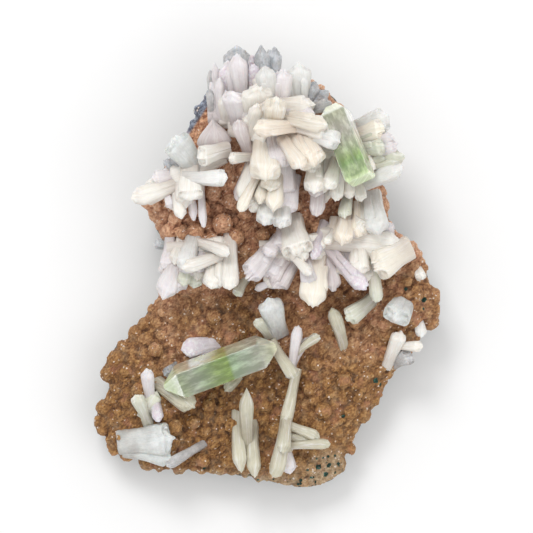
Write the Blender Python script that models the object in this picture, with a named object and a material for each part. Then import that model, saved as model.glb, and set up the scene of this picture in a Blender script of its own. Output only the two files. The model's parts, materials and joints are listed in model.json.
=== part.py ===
# Apophyllite cluster: two green apophyllite prisms and sheaves of stilbite blades, grown on
# a slab of dark basalt that carries a brown, lumpy crust. The slab lies on its trimmed flat
# back, the crystals point up and outwards, and +Y is the narrow end of the slab.
import math
import random

import bmesh
import bpy
from mathutils import Matrix, Vector, geometry, noise

MM = 0.001
GAP = 0.3  # clearance between neighbouring pieces, mm

# Slab of rock, mm
LOWER_LEVEL = 16.5  # height of the wide lower half
LOWER_SLOPE = 0.05  # its rise towards the ledge, mm per mm
UPPER_LEVEL = 21.6  # height of the narrow upper half
LEDGE_Y = -4.0  # where the upper half steps up from the lower half
LEDGE_TURN = 14.0  # how far the ledge turns towards +Y at the right edge
LEDGE_RUN = 7.0  # how far the step takes to rise
SHOULDER_RISE = 4.5  # extra height of the low half at the right edge
SWELL = 1.6  # slow waves in the height
SWELL_SIZE = 14.0
EDGE_FALL = 3.0  # how far the crust drops towards the broken rim
EDGE_RUN = 5.0  # over this distance from the rim
RIM_STEP = 3.3  # spacing of the points along the broken rim
# Rings of the broken side: share of the rim's height, and how far in from the rim
SIDE_STEPS = ((0.62, 0.1), (0.28, 0.7), (0.0, 1.9))
SIDE_ROUGHNESS = 1.3

# Round lumps of the brown crust, mm
LUMP_PITCH = 4.5
LUMP_NUDGE = 0.7
LUMP_RISE = (1.0, 2.1)  # least and greatest height of a lump over its hollows
LUMP_INSET = 2.2  # the outermost lumps stand this far in from the rim
HONEYCOMB_REACH = 20  # rows and columns of lumps on each side of the middle
SEED = 11

# Corners of the broken rim seen from above, anticlockwise from the lower left, mm
RIM = [
    (-42.6, -50.4), (-36.5, -51.6), (-32.0, -53.6), (-27.0, -55.0), (-20.0, -55.3), (-13.0, -56.0),
    (-6.0, -57.2), (0.0, -58.2), (6.0, -59.3), (11.0, -59.8), (14.3, -59.5), (17.6, -57.9),
    (21.2, -55.5), (21.8, -53.6), (21.2, -51.4), (23.2, -49.6), (23.6, -46.6), (25.2, -43.4),
    (27.4, -41.0), (28.6, -38.4), (31.2, -35.0), (32.6, -31.4), (34.0, -28.4), (37.0, -26.6),
    (39.4, -23.4), (41.0, -20.0), (43.2, -17.0), (46.2, -14.0), (46.9, -12.4), (46.2, -9.0),
    (44.6, -5.6), (42.8, -1.0), (41.8, 3.6), (40.2, 6.2), (36.4, 8.4), (33.2, 11.6),
    (31.9, 16.0), (31.2, 21.0), (29.8, 26.4), (27.2, 32.0), (23.8, 37.0), (21.8, 40.0),
    (19.4, 44.0), (16.4, 47.2), (12.4, 50.2), (7.0, 51.6), (0.0, 52.8), (-7.0, 53.2),
    (-12.2, 51.2), (-15.2, 47.0), (-17.2, 44.4), (-18.6, 41.2), (-20.4, 39.0), (-22.2, 35.0),
    (-25.4, 30.6), (-28.2, 25.6), (-30.4, 20.8), (-32.8, 16.4), (-31.4, 13.2), (-29.6, 10.4),
    (-27.6, 6.4), (-27.0, 1.0), (-27.6, -4.4), (-30.0, -9.4), (-32.4, -13.2), (-34.0, -16.8),
    (-36.8, -19.2), (-39.8, -20.4), (-41.4, -23.0), (-43.8, -27.0), (-44.0, -29.4), (-42.4, -32.4),
    (-44.4, -36.8), (-45.6, -40.2), (-46.8, -42.4), (-45.6, -44.4), (-43.6, -45.6), (-43.4, -48.6),
]

# Apophyllite prisms: square section, a pyramid at each end. Sizes in mm, roll in degrees
LOWER_PRISM = {
    "ends": ((-27.6, -32.6, 22.0), (2.6, -21.4, 23.4)),
    "side": 7.4,
    "roll": 20,
    "points": (4.6, 4.4),
    "flats": (0.18, 0.22),
}
UPPER_PRISM = {
    "ends": ((17.6, 43.0, 32.0), (25.2, 23.0, 38.6)),
    "side": 7.0,
    "roll": 12,
    "points": (2.6, 0.5),
    "flats": (0.45, 0.86),
}

# Stilbite blades, each as foot, tip, width, thickness, roll in degrees, and how far the tip
# narrows (0 blunt, 1 sharp). The foot is rooted in the crust or in another blade. In mm
BLADES = {
    "stilbite_crown": [
        # Broad crystals at the heart of the heap, from which the others fan out
        ((-15.6, 42.0, 23.6), (10.0, 42.2, 26.4), 9.0, 5.4, 0, 0.3),
        ((-9.0, 38.0, 25.0), (3.0, 36.0, 32.0), 8.0, 5.6, 8, 0.3),
        ((3.2, 41.0, 27.6), (2.6, 16.4, 28.4), 11.0, 6.6, 4, 0.3),
        ((6.0, 31.0, 27.0), (27.6, 30.0, 28.4), 9.0, 6.0, -6, 0.3),
        ((23.0, 38.4, 23.0), (27.2, 21.6, 27.0), 6.4, 5.0, 10, 0.3),
        # Blades that stand out past the narrow end
        ((-8.0, 42.0, 22.6), (-8.0, 59.6, 27.0), 7.5, 4.0, 12, 0.35),
        ((-6.0, 42.0, 26.0), (-8.0, 57.4, 33.0), 5.0, 2.8, -8, 0.6),
        ((-10.0, 41.0, 23.6), (-11.1, 54.0, 29.5), 4.2, 2.4, 30, 0.2),
        ((-12.5, 40.0, 23.6), (-14.0, 54.8, 28.0), 2.6, 1.8, 40, 0.7),
        ((-14.3, 41.0, 23.0), (-15.2, 53.0, 25.6), 2.0, 1.5, 20, 0.6),
        ((-14.8, 39.0, 24.0), (-15.3, 47.8, 28.0), 2.2, 1.8, 0, 0.3),
        ((-12.6, 39.0, 25.0), (-12.6, 50.8, 31.0), 2.6, 2.0, -25, 0.6),
        ((-1.2, 44.0, 25.6), (-1.4, 59.6, 30.0), 4.2, 2.4, 10, 0.7),
        ((1.4, 43.0, 24.0), (2.0, 59.2, 26.5), 4.6, 3.0, -15, 0.3),
        ((-3.4, 43.0, 24.0), (-3.7, 57.2, 27.5), 3.0, 2.0, 25, 0.3),
        ((-3.4, 43.0, 26.0), (-3.4, 54.5, 30.0), 3.2, 2.0, 0, 0.2),
        ((0.8, 42.0, 29.0), (-0.6, 53.8, 36.0), 5.6, 3.2, 12, 0.6),
        ((4.6, 41.0, 29.0), (4.3, 53.3, 34.0), 5.6, 3.0, -10, 0.5),
        ((8.8, 41.0, 25.0), (8.6, 55.0, 30.0), 6.6, 3.2, 14, 0.5),
        ((9.0, 41.0, 25.0), (13.3, 49.8, 27.0), 4.0, 2.4, -20, 0.3),
        ((9.0, 41.4, 25.0), (16.8, 47.3, 26.0), 2.8, 2.0, 30, 0.3),
        ((8.6, 41.0, 26.6), (17.6, 44.0, 30.0), 3.4, 2.2, 10, 0.3),
        # The heap
        ((-7.0, 37.0, 26.0), (-9.4, 47.0, 36.0), 6.2, 3.6, -30, 0.3),
        ((-2.5, 37.0, 26.0), (-2.5, 48.5, 38.0), 8.5, 3.4, 8, 0.6),
        ((1.0, 43.5, 31.0), (12.0, 43.3, 36.0), 5.2, 3.2, 15, 0.5),
        ((1.5, 35.0, 28.0), (2.6, 45.0, 42.0), 6.0, 4.0, 0, 0.5),
        ((8.5, 38.0, 33.0), (-3.4, 36.6, 42.0), 4.8, 3.8, -12, 0.3),
        ((4.0, 40.0, 34.0), (16.3, 37.6, 42.0), 4.4, 3.4, 20, 0.4),
        ((8.0, 38.5, 28.0), (12.8, 26.8, 43.0), 8.0, 4.4, 14, 0.15),
        ((4.4, 34.0, 34.0), (9.6, 26.2, 44.5), 4.6, 3.0, -18, 0.2),
        ((-0.5, 34.5, 27.0), (0.0, 23.2, 42.0), 8.4, 5.0, -10, 0.45),
        ((-5.0, 33.0, 28.0), (-2.4, 43.5, 38.0), 3.6, 2.6, 20, 0.4),
        ((-4.4, 30.0, 27.0), (-7.9, 39.6, 34.0), 4.4, 2.8, -15, 0.6),
        ((-3.0, 29.4, 28.0), (-10.3, 28.8, 34.0), 3.2, 2.4, -10, 0.2),
        ((-3.6, 29.0, 26.6), (-6.8, 17.8, 34.0), 4.2, 2.8, 12, 0.5),
        ((-3.8, 29.4, 26.8), (-8.0, 17.5, 31.0), 3.4, 2.4, -15, 0.4),
        ((-2.0, 24.5, 30.0), (-7.2, 14.6, 37.5), 3.2, 2.6, 10, 0.3),
        ((0.0, 22.0, 26.6), (-4.4, 14.6, 33.0), 3.8, 2.6, -20, 0.4),
        ((3.0, 26.0, 29.4), (1.7, 14.3, 39.0), 4.8, 3.0, 8, 0.85),
        ((7.4, 24.5, 26.6), (5.6, 14.0, 31.5), 5.0, 3.0, -20, 0.3),
        ((0.6, 20.5, 26.0), (-0.4, 10.9, 35.0), 5.0, 3.6, -12, 0.4),
        ((4.6, 20.5, 26.0), (3.9, 10.1, 35.5), 5.2, 3.6, 14, 0.4),
        # Right arm, round the upper apophyllite
        ((14.0, 30.4, 28.0), (12.6, 19.5, 38.5), 5.6, 3.6, 12, 0.4),
        ((18.6, 29.0, 29.0), (16.3, 20.6, 37.0), 4.6, 3.0, -14, 0.3),
        ((13.6, 27.6, 26.0), (13.5, 13.2, 31.0), 4.2, 2.4, 15, 0.3),
        ((20.4, 27.4, 26.6), (18.4, 17.4, 32.0), 3.8, 2.4, -20, 0.4),
        ((24.6, 25.4, 26.0), (25.5, 17.2, 31.0), 3.2, 2.0, 15, 0.3),
        ((23.5, 21.0, 26.0), (36.9, 27.0, 32.0), 4.8, 3.0, -18, 0.4),
        ((25.0, 27.0, 26.0), (37.2, 29.6, 32.0), 5.6, 3.2, 10, 0.5),
        ((25.5, 29.6, 27.0), (35.5, 33.2, 32.0), 4.6, 2.8, -12, 0.3),
        ((22.5, 35.6, 23.0), (33.2, 40.6, 29.0), 6.6, 3.6, 10, 0.3),
        ((22.8, 34.6, 24.4), (31.8, 37.2, 33.0), 5.8, 3.2, -10, 0.4),
        ((24.0, 31.4, 26.4), (31.8, 32.2, 35.0), 4.4, 2.8, 8, 0.4),
        ((24.4, 33.8, 26.0), (34.4, 34.6, 33.0), 2.8, 2.0, 25, 0.3),
        ((26.0, 32.0, 28.0), (28.3, 25.4, 33.0), 2.8, 2.0, -10, 0.2),
        ((11.0, 35.6, 35.0), (19.9, 32.9, 41.6), 4.6, 3.4, 0, 0.5),
    ],
    "stilbite_left_arm": [
        ((-11.8, 30.6, 25.6), (-27.0, 22.4, 25.6), 7.6, 5.0, 0, 0.3),
        ((-13.5, 29.0, 25.0), (-14.6, 41.0, 31.0), 9.4, 3.6, 6, 1.0),
        ((-10.6, 31.5, 28.0), (-18.6, 29.0, 35.0), 5.6, 3.6, -20, 0.3),
        ((-18.0, 25.0, 25.0), (-25.3, 34.6, 34.0), 8.0, 4.0, 10, 0.25),
        ((-23.0, 25.4, 25.0), (-27.8, 28.6, 28.0), 2.2, 1.6, 0, 0.4),
        ((-22.5, 24.6, 25.0), (-31.0, 23.6, 28.0), 4.2, 2.2, 25, 0.3),
        ((-21.5, 23.3, 25.0), (-36.5, 18.0, 30.0), 5.2, 3.6, -14, 0.4),
        ((-22.5, 21.8, 25.0), (-33.5, 17.2, 28.0), 3.2, 2.4, 30, 0.4),
        ((-20.5, 28.5, 25.0), (-20.2, 17.6, 35.0), 6.8, 4.0, 6, 0.1),
        ((-22.0, 23.8, 30.0), (-10.3, 23.8, 36.5), 4.6, 3.4, -10, 0.1),
        ((-24.6, 21.4, 25.0), (-22.7, 12.7, 31.0), 3.4, 2.6, 12, 0.5),
        ((-27.4, 21.4, 25.0), (-25.6, 15.4, 28.0), 2.4, 1.8, 0, 0.3),
        ((-17.6, 24.6, 26.0), (-16.8, 10.2, 30.0), 2.2, 1.8, 20, 0.5),
    ],
    "stilbite_left_fan": [
        ((-26.6, 3.6, 22.6), (-8.6, 4.4, 24.6), 7.6, 5.0, 0, 0.3),
        ((-26.0, 7.6, 21.6), (-27.4, -1.0, 26.0), 3.6, 2.4, 15, 0.4),
        ((-24.0, 3.4, 23.0), (-27.9, -9.0, 28.0), 5.8, 3.4, -12, 0.6),
        ((-24.6, 5.2, 22.0), (-30.6, 6.4, 22.0), 2.8, 2.0, 20, 0.3),
        ((-19.4, 8.0, 23.0), (-21.8, -1.2, 33.0), 5.4, 3.4, 20, 0.5),
        ((-11.2, 3.3, 26.0), (-22.6, -0.6, 34.0), 3.8, 3.0, -20, 0.4),
        ((-19.4, 6.8, 24.0), (-9.8, 3.6, 33.5), 3.4, 2.8, 12, 0.2),
        ((-9.8, 8.4, 22.0), (-9.9, -6.3, 33.0), 4.8, 3.6, 6, 0.25),
        ((-13.0, 4.0, 23.0), (-14.8, -6.1, 31.0), 5.4, 3.4, -10, 0.3),
        ((-21.2, 2.4, 23.0), (-22.3, -5.4, 28.5), 3.6, 2.6, 10, 0.4),
        ((-18.6, 2.4, 23.0), (-19.6, -6.0, 26.0), 4.2, 2.6, -8, 0.3),
    ],
    "stilbite_ledge_teeth": [
        ((-1.6, 4.0, 23.6), (17.6, 5.6, 25.6), 8.0, 5.0, 4, 0.3),
        ((14.0, 7.6, 24.6), (37.0, 4.6, 24.4), 8.4, 5.4, -6, 0.3),
        ((6.5, 12.5, 24.0), (8.6, 3.0, 34.0), 8.6, 4.6, 10, 0.3),
        ((3.0, 6.0, 23.0), (-5.6, -3.6, 31.0), 6.2, 3.6, -14, 0.4),
        ((4.2, 9.0, 24.0), (-0.2, 2.8, 31.0), 4.2, 2.6, 10, 0.4),
        ((8.0, 3.6, 23.6), (1.6, -6.1, 26.0), 6.6, 3.0, 12, 0.3),
        ((3.6, -3.4, 25.2), (-3.2, -6.3, 23.6), 2.2, 1.8, 0, 0.3),
        ((13.8, 4.4, 23.0), (12.3, -11.3, 33.0), 7.4, 4.0, 6, 0.6),
        ((6.2, 3.6, 29.0), (12.0, -2.3, 35.0), 2.8, 2.2, 15, 0.3),
        ((16.0, 4.0, 23.6), (18.2, -7.0, 26.0), 4.4, 2.6, -10, 0.4),
        ((15.6, 12.0, 24.0), (12.3, 1.8, 30.0), 3.2, 2.2, -30, 0.3),
        ((18.2, 9.6, 25.6), (15.8, 6.1, 31.0), 2.4, 1.8, 20, 0.3),
        ((21.5, 14.0, 24.0), (20.2, 5.6, 33.0), 5.0, 3.4, -8, 0.8),
        ((22.5, 13.0, 24.0), (25.9, 9.2, 30.5), 5.2, 3.0, 10, 0.4),
        ((28.4, 19.6, 23.0), (29.9, 8.2, 32.0), 6.4, 3.4, 12, 0.6),
        ((33.4, 5.2, 22.0), (32.6, 12.2, 25.0), 3.2, 2.0, 0, 0.3),
        ((38.2, 5.0, 22.0), (28.2, -0.8, 32.0), 8.6, 3.8, -10, 0.5),
        ((24.5, 8.6, 23.0), (25.0, -2.8, 30.0), 5.8, 3.2, 10, 0.3),
        ((17.0, 4.6, 25.0), (26.8, -6.2, 33.0), 4.4, 3.0, -15, 0.3),
        ((29.0, 3.4, 24.0), (29.8, -10.0, 27.0), 3.6, 2.6, 10, 0.3),
    ],
    "stilbite_pale_blade": [
        ((22.6, 21.8, 22.4), (20.8, 12.8, 29.4), 3.8, 2.0, 35, 0.2),
    ],
    "stilbite_ledge_foot": [
        ((29.6, -8.0, 18.0), (21.0, -14.4, 25.0), 5.2, 2.8, -10, 0.3),
    ],
    "stilbite_ledge_bud": [
        ((-5.4, -3.2, 18.6), (-8.2, -8.0, 23.0), 3.0, 2.2, 10, 0.2),
    ],
    "stilbite_right_block": [
        ((38.8, -7.6, 15.0), (34.3, -14.6, 27.0), 7.6, 4.6, 12, 0.25),
    ],
    "stilbite_right_bud": [
        ((40.6, -11.4, 14.0), (42.0, -19.2, 21.0), 3.1, 2.4, 10, 0.4),
    ],
    "stilbite_edge_spray": [
        ((32.4, -27.2, 13.0), (36.4, -17.4, 22.0), 4.2, 2.8, 14, 0.3),
        ((35.0, -21.2, 16.0), (42.2, -21.5, 23.0), 3.0, 2.6, 0, 0.4),
        ((34.4, -26.2, 13.0), (39.2, -24.0, 18.5), 4.6, 3.0, 10, 0.2),
    ],
    "stilbite_edge_bud": [
        ((40.4, 1.4, 15.0), (41.9, -3.4, 22.5), 3.0, 2.4, 10, 0.3),
    ],
    "stilbite_shield": [
        ((3.4, -18.4, 16.0), (0.4, -8.4, 26.0), 6.8, 3.6, 8, 0.5),
        ((0.6, -19.0, 17.6), (-2.9, -14.2, 24.5), 3.0, 2.2, -10, 0.4),
    ],
    "stilbite_rear_blade": [
        ((-8.0, -20.8, 13.0), (-23.2, -22.4, 20.0), 5.6, 3.0, 14, 0.3),
    ],
    "stilbite_rear_bud": [
        ((-23.6, -26.0, 13.5), (-27.6, -29.4, 19.5), 3.0, 2.2, 0, 0.4),
    ],
    "stilbite_under_blade": [
        ((-4.6, -27.8, 13.0), (-11.4, -33.6, 19.5), 3.0, 2.2, 10, 0.3),
    ],
    "stilbite_corner_sheaf": [
        ((-31.0, -30.6, 14.0), (-19.0, -38.2, 22.5), 5.4, 3.4, -12, 0.4),
        ((-31.4, -39.0, 14.6), (-32.4, -27.4, 22.0), 3.6, 2.6, 10, 0.3),
        ((-30.4, -33.0, 14.0), (-29.1, -42.0, 21.5), 3.0, 2.2, 20, 0.4),
        ((-32.0, -42.4, 15.6), (-35.4, -34.6, 22.0), 3.8, 2.6, -12, 0.2),
        ((-33.6, -41.0, 16.4), (-29.6, -33.6, 17.4), 4.4, 2.6, 0, 0.3),
    ],
    "stilbite_white_plates": [
        ((-39.4, -48.4, 11.0), (-25.4, -46.2, 20.0), 7.6, 3.8, 6, 0.15),
        ((-37.6, -50.3, 12.0), (-26.0, -52.4, 18.0), 4.2, 3.2, -10, 0.2),
        ((-16.8, -48.0, 13.0), (-27.2, -54.0, 19.0), 3.0, 2.2, 12, 0.3),
    ],
    "stilbite_tall_trio": [
        ((-4.9, -49.8, 15.0), (-5.3, -32.7, 27.0), 3.9, 2.6, 8, 0.85),
        ((-8.2, -38.6, 14.0), (-6.8, -55.6, 22.0), 3.8, 2.6, -12, 0.6),
        ((-3.6, -42.0, 14.0), (-3.2, -57.0, 21.5), 3.8, 2.6, 14, 0.6),
    ],
    "stilbite_branch": [
        ((1.2, -20.0, 21.5), (8.0, -30.4, 19.6), 3.6, 2.8, 10, 0.1),
        ((6.4, -30.0, 17.6), (8.6, -15.8, 22.4), 3.0, 2.4, -15, 0.3),
        ((7.6, -23.6, 19.0), (14.4, -18.4, 23.0), 2.6, 2.2, 10, 0.2),
        ((8.2, -27.6, 18.6), (5.0, -42.6, 20.4), 3.4, 2.8, 8, 0.1),
        ((5.6, -39.6, 19.0), (2.2, -57.2, 20.6), 4.2, 3.4, -10, 0.2),
        ((5.6, -41.0, 19.6), (4.4, -50.4, 24.0), 3.6, 2.8, 15, 0.3),
        ((3.6, -48.6, 18.6), (17.4, -47.8, 21.0), 2.8, 2.4, 10, 0.2),
        ((4.6, -42.4, 19.0), (14.6, -46.4, 19.5), 3.2, 2.6, -10, 0.3),
        ((4.4, -46.6, 17.6), (6.4, -56.2, 18.0), 4.0, 3.0, 6, 0.3),
    ],
    "stilbite_lone_blade": [
        ((21.4, -24.2, 13.0), (17.6, -11.2, 24.5), 3.7, 2.8, 8, 0.4),
    ],
}

BLADE_FOOT = 0.72  # width of a blade's foot, as a share of its greatest width
BLADE_SHOULDER = 0.86  # how far along a blunt blade its greatest width lies
POINTED_DROP = 0.14  # how much earlier that is on a sharp one
SLIM_WIDTH = 3.5  # blades narrower than this are plain four-sided laths
SLIM_END = 0.7  # least width of a lath's end, as a share of its width
SHARP_END = 0.1  # least width of another blade's end
CHISEL = 0.4  # thickness of a blade's end, as a share of its greatest thickness


def material(name, colour, roughness):
    made = bpy.data.materials.new(name)
    made.use_nodes = True
    shader = made.node_tree.nodes["Principled BSDF"]
    shader.inputs["Base Color"].default_value = (*colour, 1)
    shader.inputs["Roughness"].default_value = roughness
    return made


def add_object(name, bm, finish):
    """A named object from a bmesh in mm."""
    bmesh.ops.scale(bm, vec=(MM, MM, MM), verts=bm.verts)
    mesh = bpy.data.meshes.new(name)
    bm.to_mesh(mesh)
    bm.free()
    mesh.materials.append(finish)
    made = bpy.data.objects.new(name, mesh)
    bpy.context.scene.collection.objects.link(made)
    return made


def bmesh_in_mm(mesh):
    bm = bmesh.new()
    bm.from_mesh(mesh)
    bmesh.ops.scale(bm, vec=(1 / MM, 1 / MM, 1 / MM), verts=bm.verts)
    bm.normal_update()
    return bm


def smoothstep(low, high, value):
    t = min(1, max(0, (value - low) / (high - low)))
    return t * t * (3 - 2 * t)


def distance_to_side(point, start, end):
    along = end - start
    share = min(1, max(0, (point - start).dot(along) / along.length_squared))
    return (point - start - along * share).length


def distance_to_rim(point, rim):
    return min(distance_to_side(point, a, b) for a, b in zip(rim, rim[1:] + rim[:1]))


def is_inside(point, rim):
    inside = False
    for a, b in zip(rim, rim[1:] + rim[:1]):
        if (a.y > point.y) != (b.y > point.y):
            crossing = a.x + (point.y - a.y) * (b.x - a.x) / (b.y - a.y)
            inside ^= point.x < crossing
    return inside


def rim_points():
    """The rim's corners, and points between them about RIM_STEP apart."""
    corners = [Vector(corner) for corner in RIM]
    points = []
    for a, b in zip(corners, corners[1:] + corners[:1]):
        steps = max(1, round((b - a).length / RIM_STEP))
        points += [a.lerp(b, step / steps) for step in range(steps)]
    return points


def lump_seeds(rim):
    """Centres of the crust's lumps: a honeycomb inside the rim, each nudged a little."""
    chance = random.Random(SEED)
    row_pitch = LUMP_PITCH * math.sqrt(3) / 2
    rows = range(-HONEYCOMB_REACH, HONEYCOMB_REACH)
    seeds = []
    for row in rows:
        for column in rows:
            nudge = Vector((chance.uniform(-1, 1), chance.uniform(-1, 1))) * LUMP_NUDGE
            seed = Vector(((column + row % 2 / 2) * LUMP_PITCH, row * row_pitch)) + nudge
            if is_inside(seed, rim) and distance_to_rim(seed, rim) > LUMP_INSET:
                seeds.append(seed)
    return seeds


def crust_level(x, y, from_rim):
    """Height of the hollows between the lumps: a low half, a ledge and a high half."""
    ledge_y = LEDGE_Y + LEDGE_TURN * smoothstep(10, 34, x)
    rise = smoothstep(ledge_y - LEDGE_RUN / 2, ledge_y + LEDGE_RUN / 2, y)
    shoulder = SHOULDER_RISE * smoothstep(24, 38, x) * smoothstep(-26, -12, y)
    low = LOWER_LEVEL + LOWER_SLOPE * y + shoulder
    swell = SWELL * noise.noise(Vector((x, y, 0)) / SWELL_SIZE)
    fall = EDGE_FALL * (1 - smoothstep(0, EDGE_RUN, from_rim))
    return low + (UPPER_LEVEL - low) * rise + swell - fall


def turn_to_valleys(bm, ridges):
    """Turns each edge between two lump tops, so that it joins the hollows on its two sides."""
    turned = []
    for edge in ridges:
        hollows = [
            vert.co.xy for face in edge.link_faces for vert in face.verts if vert not in edge.verts
        ]
        valley = hollows[1] - hollows[0]
        sides = [valley.cross(top.co.xy - hollows[0]) for top in edge.verts]
        if sides[0] * sides[1] < 0:
            turned.append(edge)
    bmesh.ops.rotate_edges(bm, edges=turned, use_ccw=False)


def raise_crust(bm, rim, tops):
    """Lifts the flat mesh to the crust's height, with each lump's top above its hollows."""
    chance = random.Random(SEED)
    for vert in bm.verts:
        x, y = vert.co.xy
        vert.co.z = crust_level(x, y, distance_to_rim(vert.co.xy, rim))
        if vert in tops:
            vert.co.z += chance.uniform(*LUMP_RISE)


def drop_sides(bm, rim):
    """Extrudes the rim down to the flat base in rough, broken steps."""
    count = len(rim)
    inward = []
    for i in range(count):
        along = rim[(i + 2) % count] - rim[i - 2]
        inward.append(Vector((-along.y, along.x)).normalized())
    for share, inset in SIDE_STEPS:
        open_edges = [edge for edge in bm.edges if edge.is_boundary]
        made = bmesh.ops.extrude_edge_only(bm, edges=open_edges)["geom"]
        top_ring = [item for item in made if isinstance(item, bmesh.types.BMVert)]
        for vert in top_ring:
            i = rim_index(vert, rim)
            rough = SIDE_ROUGHNESS * noise.noise(Vector((*rim[i], 40 * share)) / 6)
            place = rim[i] + inward[i] * max(0, inset + rough)
            vert.co = (*place, crust_level(*rim[i], 0) * share)
    bmesh.ops.edgeloop_fill(bm, edges=[edge for edge in bm.edges if edge.is_boundary])


def rim_index(vert, rim):
    return min(range(len(rim)), key=lambda i: (rim[i] - vert.co.xy).length)


def build_matrix(finish):
    rim = rim_points()
    flat = geometry.delaunay_2d_cdt(rim + lump_seeds(rim), [], [range(len(rim))], 1, 1e-4)
    bm = bmesh.new()
    verts = [bm.verts.new((*point, 0)) for point in flat[0]]
    for corners in flat[2]:
        bm.faces.new(verts[i] for i in corners)
    tops = {vert for vert in bm.verts if not vert.is_boundary}
    ridges = [edge for edge in bm.edges if not edge.is_boundary]
    bmesh.ops.poke(bm, faces=bm.faces)
    turn_to_valleys(bm, ridges)
    raise_crust(bm, rim, tops)
    drop_sides(bm, rim)
    bmesh.ops.recalc_face_normals(bm, faces=bm.faces)
    return add_object("matrix", bm, finish)


def grown_cutter(obj, name):
    """A cutter that is the object grown by GAP all round."""
    bm = bmesh_in_mm(obj.data)
    moves = [vert.normal * GAP * min(2, vert.calc_shell_factor()) for vert in bm.verts]
    for vert, move in zip(bm.verts, moves):
        vert.co += move
    cutter = add_object(name, bm, obj.data.materials[0])
    cutter.hide_render = True
    cutter.display_type = "WIRE"
    return cutter


def lay_along(bm, foot, tip, roll):
    """Lays a shape built up the Z axis from foot to tip, its broad Y face up, then rolls it."""
    along = (tip - foot).normalized()
    across = along.cross(Vector((0, 0, 1))).normalized()
    axes = Matrix((across, across.cross(along), along)).transposed()
    turned = Matrix.Rotation(math.radians(roll), 3, along) @ axes
    placed = Matrix.Translation(foot) @ turned.to_4x4()
    bmesh.ops.transform(bm, matrix=placed, verts=bm.verts)


def extrude_ring(bm, cap, rise, scale):
    """Extrudes the cap face straight up by rise, scales it, and gives the new cap."""
    is_first = len(bm.faces) == 1
    made = bmesh.ops.extrude_face_region(bm, geom=[cap])["geom"]
    if not is_first:
        bmesh.ops.delete(bm, geom=[cap], context="FACES_ONLY")
    verts = [item for item in made if isinstance(item, bmesh.types.BMVert)]
    bmesh.ops.translate(bm, vec=(0, 0, rise), verts=verts)
    bmesh.ops.scale(bm, vec=(*scale, 1), verts=verts)
    return next(item for item in made if isinstance(item, bmesh.types.BMFace))


def rod(sides, turn, width, thickness):
    """A flat polygon with this width and thickness, as the start of a crystal."""
    bm = bmesh.new()
    bmesh.ops.create_circle(bm, cap_ends=True, segments=sides, radius=0.5)
    bmesh.ops.rotate(bm, matrix=Matrix.Rotation(math.radians(turn), 3, "Z"), verts=bm.verts)
    spans = [max(vert.co[axis] for vert in bm.verts) * 2 for axis in (0, 1)]
    size = (width / spans[0], thickness / spans[1], 1)
    bmesh.ops.scale(bm, vec=size, verts=bm.verts)
    return bm


def add_blade(cluster, foot, tip, width, thickness, roll, point):
    """A flat stilbite blade: narrow at its foot, widest near its tip, then a chisel end."""
    foot, tip = Vector(foot), Vector(tip)
    length = (tip - foot).length
    shoulder = BLADE_SHOULDER - POINTED_DROP * point
    widening = (1 / BLADE_FOOT, 1 / BLADE_FOOT)
    if width < SLIM_WIDTH:
        bm = rod(4, 45, width, thickness)
        extrude_ring(bm, bm.faces[:][0], length, (max(SLIM_END, 1 - point), CHISEL))
    else:
        bm = rod(6, 0, width * BLADE_FOOT, thickness * BLADE_FOOT)
        cap = extrude_ring(bm, bm.faces[:][0], length * shoulder, widening)
        extrude_ring(bm, cap, length * (1 - shoulder), (max(SHARP_END, 1 - point), CHISEL))
    copy_into(cluster, bm, foot, tip, roll)


def copy_into(cluster, bm, foot, tip, roll):
    lay_along(bm, foot, tip, roll)
    bmesh.ops.recalc_face_normals(bm, faces=bm.faces)
    piece = bpy.data.meshes.new("piece")
    bm.to_mesh(piece)
    bm.free()
    cluster.from_mesh(piece)
    bpy.data.meshes.remove(piece)


def cut(obj, cutter):
    """Cuts obj with cutter, and first joins whatever overlaps inside obj."""
    modifier = obj.modifiers.new("clear_of_" + cutter.name, "BOOLEAN")
    modifier.operation = "DIFFERENCE"
    modifier.solver = "EXACT"
    modifier.use_self = True
    modifier.object = cutter


def islands(bm):
    """Groups of connected faces."""
    left = set(bm.faces)
    groups = []
    while left:
        group = set()
        front = [left.pop()]
        while front:
            face = front.pop()
            group.add(face)
            near = {other for edge in face.edges for other in edge.link_faces} & left
            left -= near
            front += near
        groups.append(group)
    return groups


def keep_largest(obj):
    """Applies the cuts and deletes the crumbs that they leave beside the crystal."""
    graph = bpy.context.evaluated_depsgraph_get()
    mesh = bpy.data.meshes.new_from_object(obj.evaluated_get(graph))
    bm = bmesh.new()
    bm.from_mesh(mesh)
    groups = sorted(islands(bm), key=lambda group: sum(face.calc_area() for face in group))
    crumbs = [face for group in groups[:-1] for face in group]
    bmesh.ops.delete(bm, geom=crumbs, context="FACES")
    bm.to_mesh(mesh)
    bm.free()
    obj.modifiers.clear()
    obj.data = mesh
    return len(groups)


def build_prism(name, prism, cutters, finish):
    """A square apophyllite prism with a blunt pyramid at each end."""
    foot, tip = (Vector(end) for end in prism["ends"])
    length = (tip - foot).length
    low, high = prism["points"]
    low_flat, high_flat = prism["flats"]
    side = prism["side"]
    bm = rod(4, 45, side * low_flat, side * low_flat)
    cap = extrude_ring(bm, bm.faces[:][0], low, (1 / low_flat, 1 / low_flat))
    cap = extrude_ring(bm, cap, length - low - high, (1, 1))
    extrude_ring(bm, cap, high, (high_flat, high_flat))
    cluster = bmesh.new()
    copy_into(cluster, bm, foot, tip, prism["roll"])
    obj = add_object(name, cluster, finish)
    for cutter in cutters:
        cut(obj, cutter)
    keep_largest(obj)
    return obj


def build_stilbite(name, blades, cutters, finish):
    cluster = bmesh.new()
    for blade in blades:
        add_blade(cluster, *blade)
    obj = add_object(name, cluster, finish)
    for cutter in cutters:
        cut(obj, cutter)
    keep_largest(obj)
    return obj


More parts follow.
